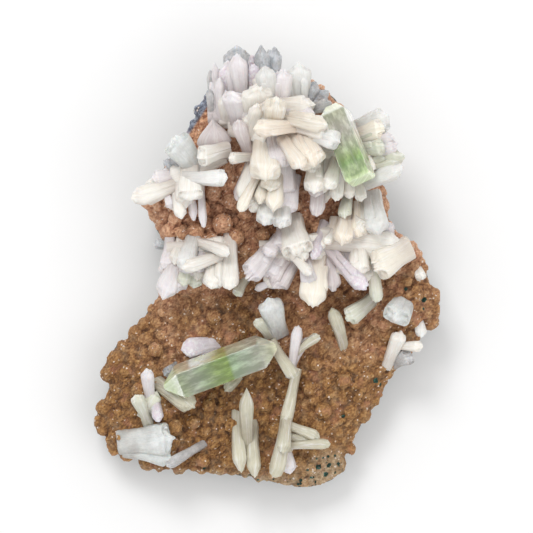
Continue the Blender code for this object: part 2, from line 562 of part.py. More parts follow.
def main():
    for obj in list(bpy.data.objects):
        bpy.data.objects.remove(obj)
    crust = material("brown_crust", (0.36, 0.19, 0.10), 0.6)
    green = material("green_apophyllite", (0.62, 0.80, 0.55), 0.08)
    pearl = material("pearly_stilbite", (0.83, 0.78, 0.74), 0.35)

    matrix = build_matrix(crust)
    rock_cutter = grown_cutter(matrix, "matrix_clearance")
    cutters = [rock_cutter]
    for name, prism in (("apophyllite_lower", LOWER_PRISM), ("apophyllite_upper", UPPER_PRISM)):
        crystal = build_prism(name, prism, [rock_cutter], green)
        cutters.append(grown_cutter(crystal, name + "_clearance"))
    for name, blades in BLADES.items():
        build_stilbite(name, blades, cutters, pearl)


main()
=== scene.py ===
# Looks of the apophyllite cluster: brown crust on basalt, stilbite blades and two green prisms.
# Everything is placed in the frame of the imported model.
import json
import math
import random

import bmesh
import bpy
import numpy as np
from mathutils import Matrix, Vector, noise

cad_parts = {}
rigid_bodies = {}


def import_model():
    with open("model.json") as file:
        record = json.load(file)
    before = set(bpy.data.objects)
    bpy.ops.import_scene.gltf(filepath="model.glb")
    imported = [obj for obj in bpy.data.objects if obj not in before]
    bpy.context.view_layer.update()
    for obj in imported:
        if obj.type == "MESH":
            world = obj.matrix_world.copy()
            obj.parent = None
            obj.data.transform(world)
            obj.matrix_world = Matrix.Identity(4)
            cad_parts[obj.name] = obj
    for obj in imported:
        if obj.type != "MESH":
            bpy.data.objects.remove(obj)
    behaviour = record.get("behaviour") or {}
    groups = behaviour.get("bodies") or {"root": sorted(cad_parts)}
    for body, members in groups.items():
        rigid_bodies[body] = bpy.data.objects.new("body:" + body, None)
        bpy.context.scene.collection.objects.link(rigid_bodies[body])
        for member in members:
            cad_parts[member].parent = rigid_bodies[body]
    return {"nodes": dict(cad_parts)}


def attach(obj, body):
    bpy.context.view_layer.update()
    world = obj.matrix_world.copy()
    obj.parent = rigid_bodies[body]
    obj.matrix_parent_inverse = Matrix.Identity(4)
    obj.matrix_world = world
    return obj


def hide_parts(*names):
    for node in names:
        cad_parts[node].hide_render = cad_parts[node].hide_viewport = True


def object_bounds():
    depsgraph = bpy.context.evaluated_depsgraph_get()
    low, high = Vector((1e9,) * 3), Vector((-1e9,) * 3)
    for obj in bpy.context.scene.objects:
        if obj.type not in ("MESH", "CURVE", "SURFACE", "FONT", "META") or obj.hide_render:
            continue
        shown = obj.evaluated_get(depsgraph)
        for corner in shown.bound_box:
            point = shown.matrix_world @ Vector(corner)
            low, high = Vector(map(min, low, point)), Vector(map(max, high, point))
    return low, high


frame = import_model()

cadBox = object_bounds()
scene = bpy.context.scene
mm = 0.001


# Shader helpers
class Wire:  # a node's output, for Python's operators
    def __init__(self, look, socket):
        self.look = look
        self.socket = socket

    def math(self, operation, other):
        return self.look.node("Math", {"operation": operation}, {0: self, 1: other})

    def __add__(self, other):
        return self.math("ADD", other)

    def __mul__(self, other):
        return self.math("MULTIPLY", other)

    def __sub__(self, other):
        return self.math("SUBTRACT", other)

    def __rsub__(self, other):
        return (self * -1) + other

    __radd__ = __add__

    def rise(self, low, high):  # smooth from 0 at low to 1 at high
        settings = {"interpolation_type": "SMOOTHSTEP"}
        return self.look.node("MapRange", settings, {0: self, 1: low, 2: high})


class Finish:  # one material and the nodes that make it
    def __init__(self, name):
        self.material = bpy.data.materials.new(name)
        self.material.use_nodes = True
        self.tree = self.material.node_tree
        self.tree.nodes.clear()
        self.output = self.tree.nodes.new("ShaderNodeOutputMaterial")

    def plug(self, socket, value):
        if isinstance(value, Wire):
            self.tree.links.new(value.socket, socket)
        elif isinstance(value, tuple) and len(value) == 3 and socket.type == "RGBA":
            socket.default_value = (*value, 1)
        else:
            socket.default_value = value

    def node(self, kind, settings=None, sockets=None, output=0):
        made = self.tree.nodes.new("ShaderNode" + kind)
        for key, value in (settings or {}).items():
            setattr(made, key, value)
        for key, value in (sockets or {}).items():
            self.plug(made.inputs[key], value)
        return Wire(self, made.outputs[output])

    def objectPlace(self):
        return self.node("TexCoord", output=3)

    def uv(self, name):
        return self.node("UVMap", {"uv_map": name})

    def stretched(self, place, *scale):
        return self.node("Mapping", None, {"Vector": place, "Scale": scale})

    def part(self, vector, axis):
        return self.node("SeparateXYZ", None, {0: vector}, axis)

    def attribute(self, name, output=2):
        return self.node("Attribute", {"attribute_name": name}, None, output)

    def noise(self, place, scale, detail=3, roughness=0.55):
        sockets = {"Vector": place, "Scale": scale, "Detail": detail, "Roughness": roughness}
        return self.node("TexNoise", None, sockets)

    def cells(self, place, scale, output=0):
        return self.node("TexVoronoi", None, {"Vector": place, "Scale": scale}, output)

    def dice(self, place, scale):  # one random value in each cell
        return self.node("SeparateColor", None, {0: self.cells(place, scale, 1)})

    def ramp(self, factor, stops):
        wire = self.node("ValToRGB", None, {0: factor})
        elements = wire.socket.node.color_ramp.elements
        elements.remove(elements[1])
        elements[0].position = stops[0][0]
        elements[0].color = (*stops[0][1], 1)
        for place, colour in stops[1:]:
            elements.new(place).color = (*colour, 1)
        return wire

    def mix(self, factor, first, second, blend="MIX"):
        settings = {"data_type": "RGBA", "blend_type": blend}
        return self.node("Mix", settings, {0: factor, 6: first, 7: second}, 2)

    def layers(self, colour, *covers, blend="MIX"):  # covers: share and colour
        for factor, cover in covers:
            colour = self.mix(factor, colour, cover, blend)
        return colour

    def bumps(self, *layers):  # height, distance, strength
        sockets = {}
        for height, distance, strength in layers:
            sockets |= {"Height": height, "Distance": distance, "Strength": strength}
            sockets["Normal"] = self.node("Bump", None, sockets)
        return sockets["Normal"]

    def principled(self, **sockets):
        named = {key.replace("_", " "): value for key, value in sockets.items()}
        return self.node("BsdfPrincipled", None, named)

    def blendShaders(self, factor, first, second):
        return self.node("MixShader", None, {0: factor, 1: first, 2: second})

    def done(self, surface, volume=None):
        self.tree.links.new(surface.socket, self.output.inputs["Surface"])
        if volume is not None:
            self.tree.links.new(volume.socket, self.output.inputs["Volume"])
        return self.material


# Mesh helpers
def meshFrom(bm, name):
    mesh = bpy.data.meshes.new(name)
    bm.to_mesh(mesh)
    bm.free()
    return mesh


def pieceNameOf(nodeName):  # stilbite_left_arm becomes stilbiteLeftArm
    first, *others = nodeName.split("_")
    return first + "".join(word.capitalize() for word in others)


def linked(name, data):
    made = bpy.data.objects.new(name, data)
    scene.collection.objects.link(made)
    return made


def placePiece(name, mesh, look, nodes):
    mesh.materials.clear()
    mesh.materials.append(look)
    piece = linked(name, mesh)
    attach(piece, "root")
    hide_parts(*nodes)
    print(name, "done:", len(mesh.polygons), "faces")


def evaluatedMesh(mesh, modifiers):  # modifiers: type and settings
    holder = linked("holder", mesh)
    for kind, settings in modifiers:
        modifier = holder.modifiers.new(kind.lower(), kind)
        for key, value in settings.items():
            setattr(modifier, key, value)
    graph = bpy.context.evaluated_depsgraph_get()
    made = bpy.data.meshes.new_from_object(holder.evaluated_get(graph))
    bpy.data.objects.remove(holder)
    return made


def voxelMesh(bm, name, voxel, *modifiers):  # one even skin round everything in bm
    remesh = {"mode": "VOXEL", "voxel_size": voxel, "adaptivity": 0.0}
    return evaluatedMesh(meshFrom(bm, name), [("REMESH", remesh), *modifiers])


def readVectors(mesh, name):  # "co" or "normal" of every point
    values = np.empty(len(mesh.vertices) * 3, np.float32)
    mesh.vertices.foreach_get(name, values)
    return values.reshape(-1, 3)


def writePlaces(mesh, places):
    mesh.vertices.foreach_set("co", np.ascontiguousarray(places, np.float32).ravel())
    mesh.update()


def writeShares(mesh, name, values):
    attribute = mesh.attributes.new(name, "FLOAT", "POINT")
    shares = np.ascontiguousarray(np.clip(values, 0, 1), np.float32)
    attribute.data.foreach_set("value", shares)


# Crust and rock
slab = {  # what the two share
    "weld": 0.01 * mm,  # points closer than this are one
    "topFrom": 0.35,  # the top is where the normal rises more than this
    "press": 0.5 * mm,  # points this close to the underside go onto it
    "level": 0.02 * mm,
}
rock = {
    "voxel": 0.62 * mm,
    "lowered": 2.6 * mm,  # how far its hidden top lies under the crust
    "smoothFoot": 0.4 * mm,  # not roughened below this
    "chips": ((0.75 * mm, 5.5 * mm), (0.35 * mm, 1.7 * mm)),  # depth and size of the broken facets
    "holes": 420,  # gas holes in the sides
    "wall": (0.6, 1.5 * mm),  # where: how much the normal may rise, and the least height
    "holeRadius": (0.5 * mm, 1.5 * mm),
    "holeSizes": (0.5, 0.7, 1),
    "holeOut": 0.3,  # how far its middle lies outside the wall, in radii
    "holeShade": 0.6 * mm,  # depth with the full colour of a hole
    "seed": 9,
}
crust = {
    "voxel": 0.42 * mm,
    "floor": 9 * mm,  # the crust's own flat underside, hidden in the rock
    "wallInset": 1.2 * mm,
    "flatten": 4,  # rounds of smoothing on the model's lumps
    "seatFrom": 0.5,  # balls sit where the normal rises more than this
    "tries": 5200,
    "ballRadius": (1 * mm, 2.5 * mm),
    "ballPower": 1.4,  # more small balls than large ones
    "ballSpacing": 0.76,  # least distance, in radii of both
    "ballSunk": (0, 0.35),  # in radii
    "ballStretch": 0.14,
    "ballAxis": Vector((0.3, 0.5, 0.8)),
    "ballFine": 1.2 * mm,  # larger ones have more faces
    "calm": (9 * mm, 0.5),  # size of calmer patches, how much deeper balls sit there
    "budRadius": (0.35 * mm, 0.55 * mm),
    # small grains on a ball, and on one that stands out
    "buds": {"count": 5, "reach": 0.98, "sunk": 0.3, "upward": (0, 0.8), "upperHalf": True},
    "lumpBuds": {"count": 15, "reach": 1, "sunk": 0.4, "upward": (0.3, 1), "upperHalf": False},
    "rimDrop": 3.6 * mm,  # the rim is where the top falls away by more
    "rimBallRadius": (0.8 * mm, 1.7 * mm),
    "rimBallFall": 0.8,
    "wrinkles": ((0.2 * mm, 1.2 * mm), (0.23 * mm, 0.5 * mm)),  # depth and size
    "crest": (6, 0.24 * mm),  # painted light on ball tops and painted shade in creases: rounds of smoothing, height over that for full effect
    # painted shade in the deep hollows between balls: rounds of smoothing, depth under that for
    # full effect
    "hollowShade": (60, 1 * mm),
    "bareCorner": (Vector((0.0165, -0.0575)), 0.0068),  # where the pale rim shows no crust
    "bareBalls": 1.6,  # at the corner's middle; wholly bare is 1
    "bareColour": 1.5,
    "bareWaves": (0.5, 2.2 * mm),
    "lowerRim": (-0.055, 0.04, 0.003),  # its y, how that falls with x, and how soft it is
    "lowerBare": 0.9,
    "lumps": [  # balls that stand out: x, y and radius, mm
        (-26.4, -49.6, 2), (-24.8, -43.5, 2.2), (-19.8, -42.2, 1.9), (-15.6, -37.6, 1.9),
        (-17.2, -52.6, 1.9), (-30, -22.5, 2), (-14.3, -13.7, 2.1), (-10.4, -53, 1.8),
        (2.7, -44.5, 2.2), (11.5, -33, 2), (15.5, -39, 2.2), (21, -31, 2),
        (13.5, -26.5, 1.9), (-34.5, -33.5, 2.1), (-9.5, -43, 1.9), (-20, -30.5, 1.8),
        (-0.8, 8.3, 2.2), (-8.2, 7.8, 2.1), (-11.8, 11.6, 2.5), (-5.7, 14.4, 2),
        (-19.2, 9.4, 2.3), (-26, 9.6, 2.1), (-14.3, 19.8, 2.2), (-22.6, 9.2, 2),
        (-15.2, 7.4, 2.1), (-17.5, 15.5, 2.2), (-9.8, 17.5, 2.2), (-24.5, 13, 2),
        (14, 10.5, 2), (8, 16.5, 2), (24, -14.5, 2.1),
    ],
    "lumpRise": 0.55,  # height of their middles, in radii
    "pits": [  # dark gas holes in the rim: x, y and radius, mm
        (-7, -56.6, 0.58), (-4.4, -56.8, 0.72), (42.6, -9, 0.72), (42.8, -11.2, 0.65),
        (37.6, -6.2, 0.5), (29.4, -31, 0.72), (31.2, -32.2, 0.65), (20.6, -40.6, 0.5),
        (14.2, -54.4, 0.79), (17.2, -54, 0.65), (16.2, -56.6, 0.72), (12.2, -57.2, 0.58),
        (19.4, -53.4, 0.5), (13.4, -58.6, 0.43), (9.4, -58, 0.43), (18.6, -56, 0.43),
        (15.2, -51.8, 0.43), (11, -55.4, 0.43), (-17, -55, 0.43), (2, -57.8, 0.43),
    ],
    "pitFrom": 0.2,
    "pitShade": 0.35 * mm,
    "strip": (-0.019, 0.039, 0.022),  # middle of the redder strip
    "stripReach": (0.011, 0.005),  # where it begins and is full, from that middle
    "outward": (-0.832, 0.555),  # the way from there to the rim
    "slateFrom": (0.0368, 0.0376),  # how far out blue-grey rock takes over
    "slateReach": (0.011, 0.008),
    "seed": 4,
}


def slabCopy():
    bm = bmesh.new()
    bm.from_mesh(frame["nodes"]["matrix"].data)
    bmesh.ops.remove_doubles(bm, verts=bm.verts, dist=slab["weld"])
    bm.normal_update()
    return bm


def isTop(vert):
    return vert.normal.z > slab["topFrom"]


def roughen(mesh, waves, above=0):
    places, normals = readVectors(mesh, "co"), readVectors(mesh, "normal")
    held = places[:, 2] < above
    for depth, size in waves:
        heights = np.array([noise.noise(Vector(place) / size) for place in places])
        heights[held] = 0
        places += normals * (heights * depth)[:, None]
    writePlaces(mesh, np.clip(places, *cadBox))


def sinkHoles(mesh, centres):  # points inside a ball move to its far wall
    places, normals = readVectors(mesh, "co"), readVectors(mesh, "normal")
    depth = np.zeros(len(places), np.float32)
    for centre, radius in centres:
        away = np.linalg.norm(places - np.array(centre), axis=1)
        depth = np.maximum(depth, np.sqrt(np.clip(radius**2 - away**2, 0, None)))
    writePlaces(mesh, places - normals * depth[:, None])
    return depth


def settle(mesh, level):  # presses the underside flat and makes it one face
    places = readVectors(mesh, "co")
    places[places[:, 2] < level + slab["press"], 2] = level
    writePlaces(mesh, places)
    bm = bmesh.new()
    bm.from_mesh(mesh)
    flat = [face for face in bm.faces
            if all(abs(vert.co.z - level) < slab["level"] for vert in face.verts)]
    bmesh.ops.dissolve_faces(bm, faces=flat)
    bm.to_mesh(mesh)
    bm.free()


def buildRock():
    chance = random.Random(rock["seed"])
    bm = slabCopy()
    for vert in bm.verts:
        if isTop(vert):
            vert.co.z -= rock["lowered"]
    mesh = voxelMesh(bm, "rock", rock["voxel"])
    roughen(mesh, rock["chips"], rock["smoothFoot"])
    rise, foot = rock["wall"]
    walls = [vert for vert in mesh.vertices if abs(vert.normal.z) < rise and vert.co.z > foot]
    holes = []
    for vert in chance.sample(walls, rock["holes"]):
        radius = chance.uniform(*rock["holeRadius"]) * chance.choice(rock["holeSizes"])
        holes.append((vert.co + vert.normal * radius * rock["holeOut"], radius))
    depth = sinkHoles(mesh, holes)
    writeShares(mesh, "hole", depth / rock["holeShade"])
    settle(mesh, 0)
    return mesh


def bareAt(place):  # 1 where the pale rock shows, 0 on the crust
    corner, reach = crust["bareCorner"]
    return max(0, min(1, crust["bareBalls"] - (place.xy - corner).length / reach))


def addBall(bm, centre, radius, detail, chance):  # a bmesh of its own is quicker
    most = crust["ballStretch"]
    stretch = [chance.uniform(1 - most, 1 + most) for _ in range(3)]
    turn = Matrix.Rotation(chance.uniform(0, math.tau), 4, crust["ballAxis"])
    place = Matrix.Translation(centre) @ turn @ Matrix.Diagonal(stretch).to_4x4()
    ball = bmesh.new()
    bmesh.ops.create_icosphere(ball, subdivisions=detail, radius=radius, matrix=place)
    mesh = meshFrom(ball, "ball")
    bm.from_mesh(mesh)
    bpy.data.meshes.remove(mesh)


def addBuds(bm, centre, radius, buds, chance):
    for _ in range(buds["count"]):
        x, y, z = chance.gauss(0, 1), chance.gauss(0, 1), chance.gauss(*buds["upward"])
        way = Vector((x, y, abs(z) if buds["upperHalf"] else z)).normalized()
        bud = chance.uniform(*crust["budRadius"])
        out = radius * buds["reach"] - bud * buds["sunk"]
        addBall(bm, centre + way * out, bud, 1, chance)


def scatterBalls(bm, tops, chance):  # uneven balls, close together, on the top faces
    areas = [face.calc_area() for face in tops]
    small, large = crust["ballRadius"]
    spacing = crust["ballSpacing"]
    placed = []
    for face in chance.choices(tops, weights=areas, k=crust["tries"]):
        corners = [vert.co for vert in face.verts]
        shares = [chance.random() for _ in corners]
        total = sum((corner * share for corner, share in zip(corners, shares)), Vector())
        place = total / sum(shares)
        radius = small + (large - small) * chance.random() ** crust["ballPower"]
        if chance.random() < bareAt(place):
            continue
        near = ((place - spot).length < spacing * (radius + other) for spot, other in placed)
        if not any(near):
            placed.append((place, radius))
    calmSize, calmSunk = crust["calm"]
    for place, radius in placed:
        calm = 0.5 + 0.5 * noise.noise(place / calmSize)  # 0 where the balls stand out
        sunk = chance.uniform(*crust["ballSunk"]) + calmSunk * calm
        centre = place - Vector((0, 0, radius * sunk))
        addBall(bm, centre, radius, 3 if radius > crust["ballFine"] else 2, chance)
        addBuds(bm, centre, radius, crust["buds"], chance)
    print("crust:", len(placed), "balls")


def addLumps(bm, grounds, chance):
    for x, y, size in crust["lumps"]:
        spot = Vector((x * mm, y * mm))
        radius = size * mm
        ground = min(grounds, key=lambda point: (point.xy - spot).length)
        centre = Vector((*spot, ground.z + radius * crust["lumpRise"]))
        addBall(bm, centre, radius, 3, chance)
        addBuds(bm, centre, radius, crust["lumpBuds"], chance)


def addRim(bm, rims, chance):
    for place, normal in rims:
        if chance.random() < bareAt(place):
            continue
        radius = chance.uniform(*crust["rimBallRadius"])
        inward = Vector((-normal.x, -normal.y, -crust["rimBallFall"])).normalized()
        addBall(bm, place + inward * radius, radius, 2, chance)


def growCrust():
    chance = random.Random(crust["seed"])
    bm = slabCopy()
    tops = [vert for vert in bm.verts if isTop(vert)]
    rims = []
    for vert in tops:
        lowest = min(edge.other_vert(vert).co.z for edge in vert.link_edges)
        if lowest < vert.co.z - crust["rimDrop"]:
            rims.append((vert.co.copy(), vert.normal.copy()))
    inner = [vert for vert in tops if all(isTop(edge.other_vert(vert)) for edge in vert.link_edges)]
    for _ in range(crust["flatten"]):
        bmesh.ops.smooth_vert(bm, verts=inner, factor=0.5, use_axis_z=True)
    for vert in bm.verts:
        if not isTop(vert):
            vert.co.xy -= vert.normal.xy * crust["wallInset"]
    geom = bm.verts[:] + bm.edges[:] + bm.faces[:]
    base = (0, 0, crust["floor"])
    bmesh.ops.bisect_plane(bm, geom=geom, plane_co=base, plane_no=(0, 0, 1), clear_inner=True)
    bmesh.ops.holes_fill(bm, edges=[edge for edge in bm.edges if edge.is_boundary])
    faces = [face for face in bm.faces if face.normal.z > crust["seatFrom"]]
    grounds = [vert.co.copy() for vert in inner if vert.is_valid]
    scatterBalls(bm, faces, chance)
    addLumps(bm, grounds, chance)
    addRim(bm, rims, chance)
    mesh = voxelMesh(bm, "crust", crust["voxel"], ("SMOOTH", {"iterations": 1}))
    roughen(mesh, crust["wrinkles"])
    # shares for the painted light on ball tops and the painted shade in creases and deep hollows
    crest, hollowShade = (overSmoothed(mesh, *crust[name]) for name in ("crest", "hollowShade"))
    writeShares(mesh, "crest", 0.5 + crest)
    writeShares(mesh, "hollowShade", -hollowShade)
    sinkPits(mesh)
    settle(mesh, crust["floor"])
    return mesh


def overSmoothed(mesh, rounds, height):  # how far points stand over the smoothed surface
    smooth = evaluatedMesh(mesh.copy(), [("SMOOTH", {"factor": 0.5, "iterations": rounds})])
    moved = readVectors(mesh, "co") - readVectors(smooth, "co")
    return (moved * readVectors(mesh, "normal")).sum(axis=1) / height


def sinkPits(mesh):
    places, normals = readVectors(mesh, "co"), readVectors(mesh, "normal")
    up = np.flatnonzero(normals[:, 2] > crust["pitFrom"])
    balls = []
    for x, y, radius in crust["pits"]:
        away = np.hypot(places[up, 0] - x * mm, places[up, 1] - y * mm)
        balls.append((tuple(places[up[away.argmin()]]), radius * mm))
    depth = sinkHoles(mesh, balls)
    corner, reach = crust["bareCorner"]
    waveHeight, waveSize = crust["bareWaves"]
    waves = np.array([noise.noise(Vector(place) / waveSize) for place in places])
    away = np.hypot(places[:, 0] - corner.x, places[:, 1] - corner.y)
    edge, fall, soft = crust["lowerRim"]
    lower = np.clip((edge - places[:, 1] - fall * places[:, 0]) / soft, 0, 1)
    bare = np.maximum(crust["bareColour"] - away / reach, lower * crust["lowerBare"])
    writeShares(mesh, "bare", bare + waves * waveHeight)
    writeShares(mesh, "pit", depth / crust["pitShade"])


def crustFinish():
    look = Finish("brownCrust")
    place = look.objectPlace()
    crest = look.attribute("crest")
    broad = look.noise(place, 55, 2)
    fine = look.noise(place, 900, 4, 0.65)
    # painted light on ball tops and painted shade in creases, mixed with noise for the crust's own
    # uneven tone
    tone = crest * 0.5 + fine * 0.55 + broad * 0.3 - 0.2
    ochre = look.ramp(tone, [
        (0, (0.034, 0.012, 0.004)), (0.25, (0.13, 0.052, 0.015)), (0.5, (0.3, 0.14, 0.042)),
        (0.72, (0.5, 0.265, 0.09)), (1, (0.74, 0.49, 0.24)),
    ])
    rose = look.ramp(tone, [
        (0, (0.08, 0.026, 0.013)), (0.25, (0.3, 0.12, 0.062)), (0.5, (0.58, 0.295, 0.17)),
        (0.72, (0.8, 0.49, 0.31)), (1, (0.92, 0.71, 0.56)),
    ])
    upper = (look.part(place, 1) * 12 + look.noise(place, 60, 2) - 0.5).rise(-0.42, 0.25)
    sockets = {0: place, 1: crust["strip"]}
    strip = look.node("VectorMath", {"operation": "DISTANCE"}, sockets, 1)
    red = look.mix(fine.rise(0.36, 0.66), (0.22, 0.06, 0.02), (0.95, 0.55, 0.32))
    x, y = crust["outward"]
    outward = look.part(place, 0) * x + look.part(place, 1) * y
    slate = look.mix(fine.rise(0.35, 0.7), (0.05, 0.06, 0.09), (0.42, 0.47, 0.58))
    pink = look.noise(place, 240, 2).rise(0.54, 0.72)
    hollowShade = look.attribute("hollowShade").rise(0, 0.9)
    bare = look.attribute("bare")
    pale = look.ramp(fine, [
        (0.3, (0.26, 0.19, 0.1)), (0.5, (0.54, 0.43, 0.28)), (0.7, (0.78, 0.69, 0.52)),
    ])
    greenish = look.noise(place, 900, 2).rise(0.5, 0.7)
    green = look.mix(greenish, (0.015, 0.055, 0.04), (0.07, 0.21, 0.16))
    porous = bare.rise(0.5, 0.8) * look.noise(place, 300, 2).rise(0.44, 0.56)
    pores = look.cells(place, 760).rise(0.34, 0.22) * porous
    # painted glints: pale spots on random grains of the ball tops, which are also made shinier
    glint = look.dice(place, 2300).rise(0.965, 0.985)
    colour = look.layers(
        ochre,
        (upper, rose),
        (strip.rise(*crust["stripReach"]) * 0.7, red),
        (outward.rise(*crust["slateFrom"]) * strip.rise(*crust["slateReach"]), slate),
        (pink * 0.4, (0.55, 0.24, 0.15)),
        # painted shade: near black in the deep hollows
        (hollowShade * 0.95, (0.055, 0.02, 0.008)),
        (bare * 0.5, pale),
        (look.attribute("pit").rise(0.25, 0.6), green),
        (pores, green),
        (glint * crest.rise(0.3, 0.7), (0.86, 0.74, 0.64)),
    )
    grains = look.cells(place, 2300)
    bump = look.bumps(
        (grains, 0.34 * mm, 1), (pores * -1, 0.4 * mm, 1), (fine, 0.34 * mm, 0.7))
    return look.done(look.principled(
        Base_Color=colour, Roughness=0.62 - glint * 0.45, Normal=bump,
        Subsurface_Weight=0.12, Subsurface_Scale=0.6 * mm, Subsurface_Radius=(1, 0.5, 0.3),
    ))


def rockFinish():
    look = Finish("darkBasalt")
    place = look.objectPlace()
    fine = look.noise(place, 700, 5, 0.7)
    broad = look.noise(place, 90, 3)
    grey = look.ramp(fine * 0.6 + broad * 0.5 - 0.05, [
        (0.2, (0.045, 0.048, 0.042)), (0.5, (0.115, 0.12, 0.105)), (0.8, (0.24, 0.24, 0.21)),
    ])
    rust = look.noise(place, 130, 4).rise(0.52, 0.66)
    lining = look.noise(place, 420, 2).rise(0.45, 0.6)
    inside = look.mix(lining, (0.03, 0.06, 0.045), (0.3, 0.33, 0.26))
    hole = look.attribute("hole").rise(0.2, 0.7)
    colour = look.layers(grey, (rust * 0.6, (0.25, 0.16, 0.09)), (hole * 0.85, inside))
    bump = look.bumps((fine, 0.35 * mm, 0.9), (look.cells(place, 1500), 0.2 * mm, 0.4))
    return look.done(look.principled(
        Base_Color=colour, Roughness=0.75 - fine * 0.2, Normal=bump))


for name, mesh, look in (
    ("basaltSlab", buildRock(), rockFinish()),
    ("brownCrust", growCrust(), crustFinish()),
):
    mesh.shade_smooth()
    placePiece(name, mesh, look, ["matrix"])


# Stilbite
stilbite = {
    "cuts": (11, 3, 15),  # across, deep, along
    "crowding": 1.25,  # the rows lie closer towards the tip
    "foot": 0.8,  # width at the foot
    "waist": (0.28, 0.76),  # how far along the waist lies, and its width
    "shoulder": 0.86,  # how far along the greatest width lies
    "pointedDrop": 0.14,  # how much earlier that is on a sharp crystal
    "needleDrop": 0.34,  # and still earlier on one that comes to a point
    "taper": 1.25,
    "faceNarrow": 0.1,
    "chisel": 0.42,  # share of the thickness left at the tip
    "chevron": 0.26,  # how far the end's corners fall back, in widths
    "chevronPointed": 0.6,  # how much of that a sharp crystal loses
    "dome": 0.24,  # how much thinner the long edges are than the middle
    "endDome": 0.12,  # how far the end's faces fall back, in thicknesses
    "flutes": 0.05,  # depth of the long ridges, in thicknesses
    "steps": (0.03, 0.07, 0.13),  # uneven ends of the plates, in widths
    "stepRange": (-1, 0.2),
    "plates": 7,  # plates side by side in one crystal
    "bow": 0.02,  # how far a blade may bend, in lengths
    "twist": 5,  # degrees
    "tone": (0.95, 1.03),
    "grainShift": 0.1,  # so that no two blades have the same streaks
    "sharp": 32,  # degrees from which an edge is sharp
    "fillGroup": 9,  # crystals a group needs to have fillers
    "seed": 21,
}
riders = {  # smaller blades grown along the top of wide ones
    "hostWidth": 4.3,  # mm
    "often": 0.6,
    "aside": (0.12, 0.3),  # of the host's width
    "over": (0.2, 0.32),  # of the host's thickness
    "start": (0.1, 0.35),  # along the host
    "end": (0.74, 0.95),
    "width": (0.38, 0.55),
    "thickness": 0.55,
    "roll": 8,
    "point": 0.4,
}
fillers = {  # smaller, lower blades between neighbours
    "angle": 0.75,  # radians
    "reach": (3, 11),  # how far apart their tips stand, mm
    "partners": 2,
    "footSunk": 0.5,  # mm
    "sunk": (0.6, 2.6),  # how far the tip lies below theirs, mm
    "between": (0.35, 0.65),
    "length": (0.78, 0.96),
    "size": (0.38, 0.52),  # of both together
    "roll": 25,
    "point": (0.2, 0.7),
    "tints": ("ivory", "lilac"),  # besides their own
}
tints = {  # colour, how glassy, and how much it glitters
    "ivory": (0.88, 0.85, 0.79, 0, 0),
    "cream": (0.88, 0.83, 0.73, 0, 0),
    "white": (0.89, 0.9, 0.87, 0.12, 0.1),
    "frost": (0.94, 0.98, 0.96, 0.24, 0),
    "peach": (0.89, 0.81, 0.7, 0, 0),
    "lilac": (0.87, 0.83, 0.84, 0.1, 0.1),
    "rose": (0.88, 0.82, 0.86, 0.15, 1),
    # painted shade: a darker copy of lilac for blades that lie in shade
    "dusk": (0.79, 0.72, 0.72, 0.1, 0),
    "grey": (0.79, 0.79, 0.79, 0.35, 0.1),
    "glass": (0.82, 0.86, 0.89, 0.5, 0.2),
    "sage": (0.77, 0.78, 0.66, 0.1, 0),
    "straw": (0.69, 0.66, 0.52, 0.12, 0),
}
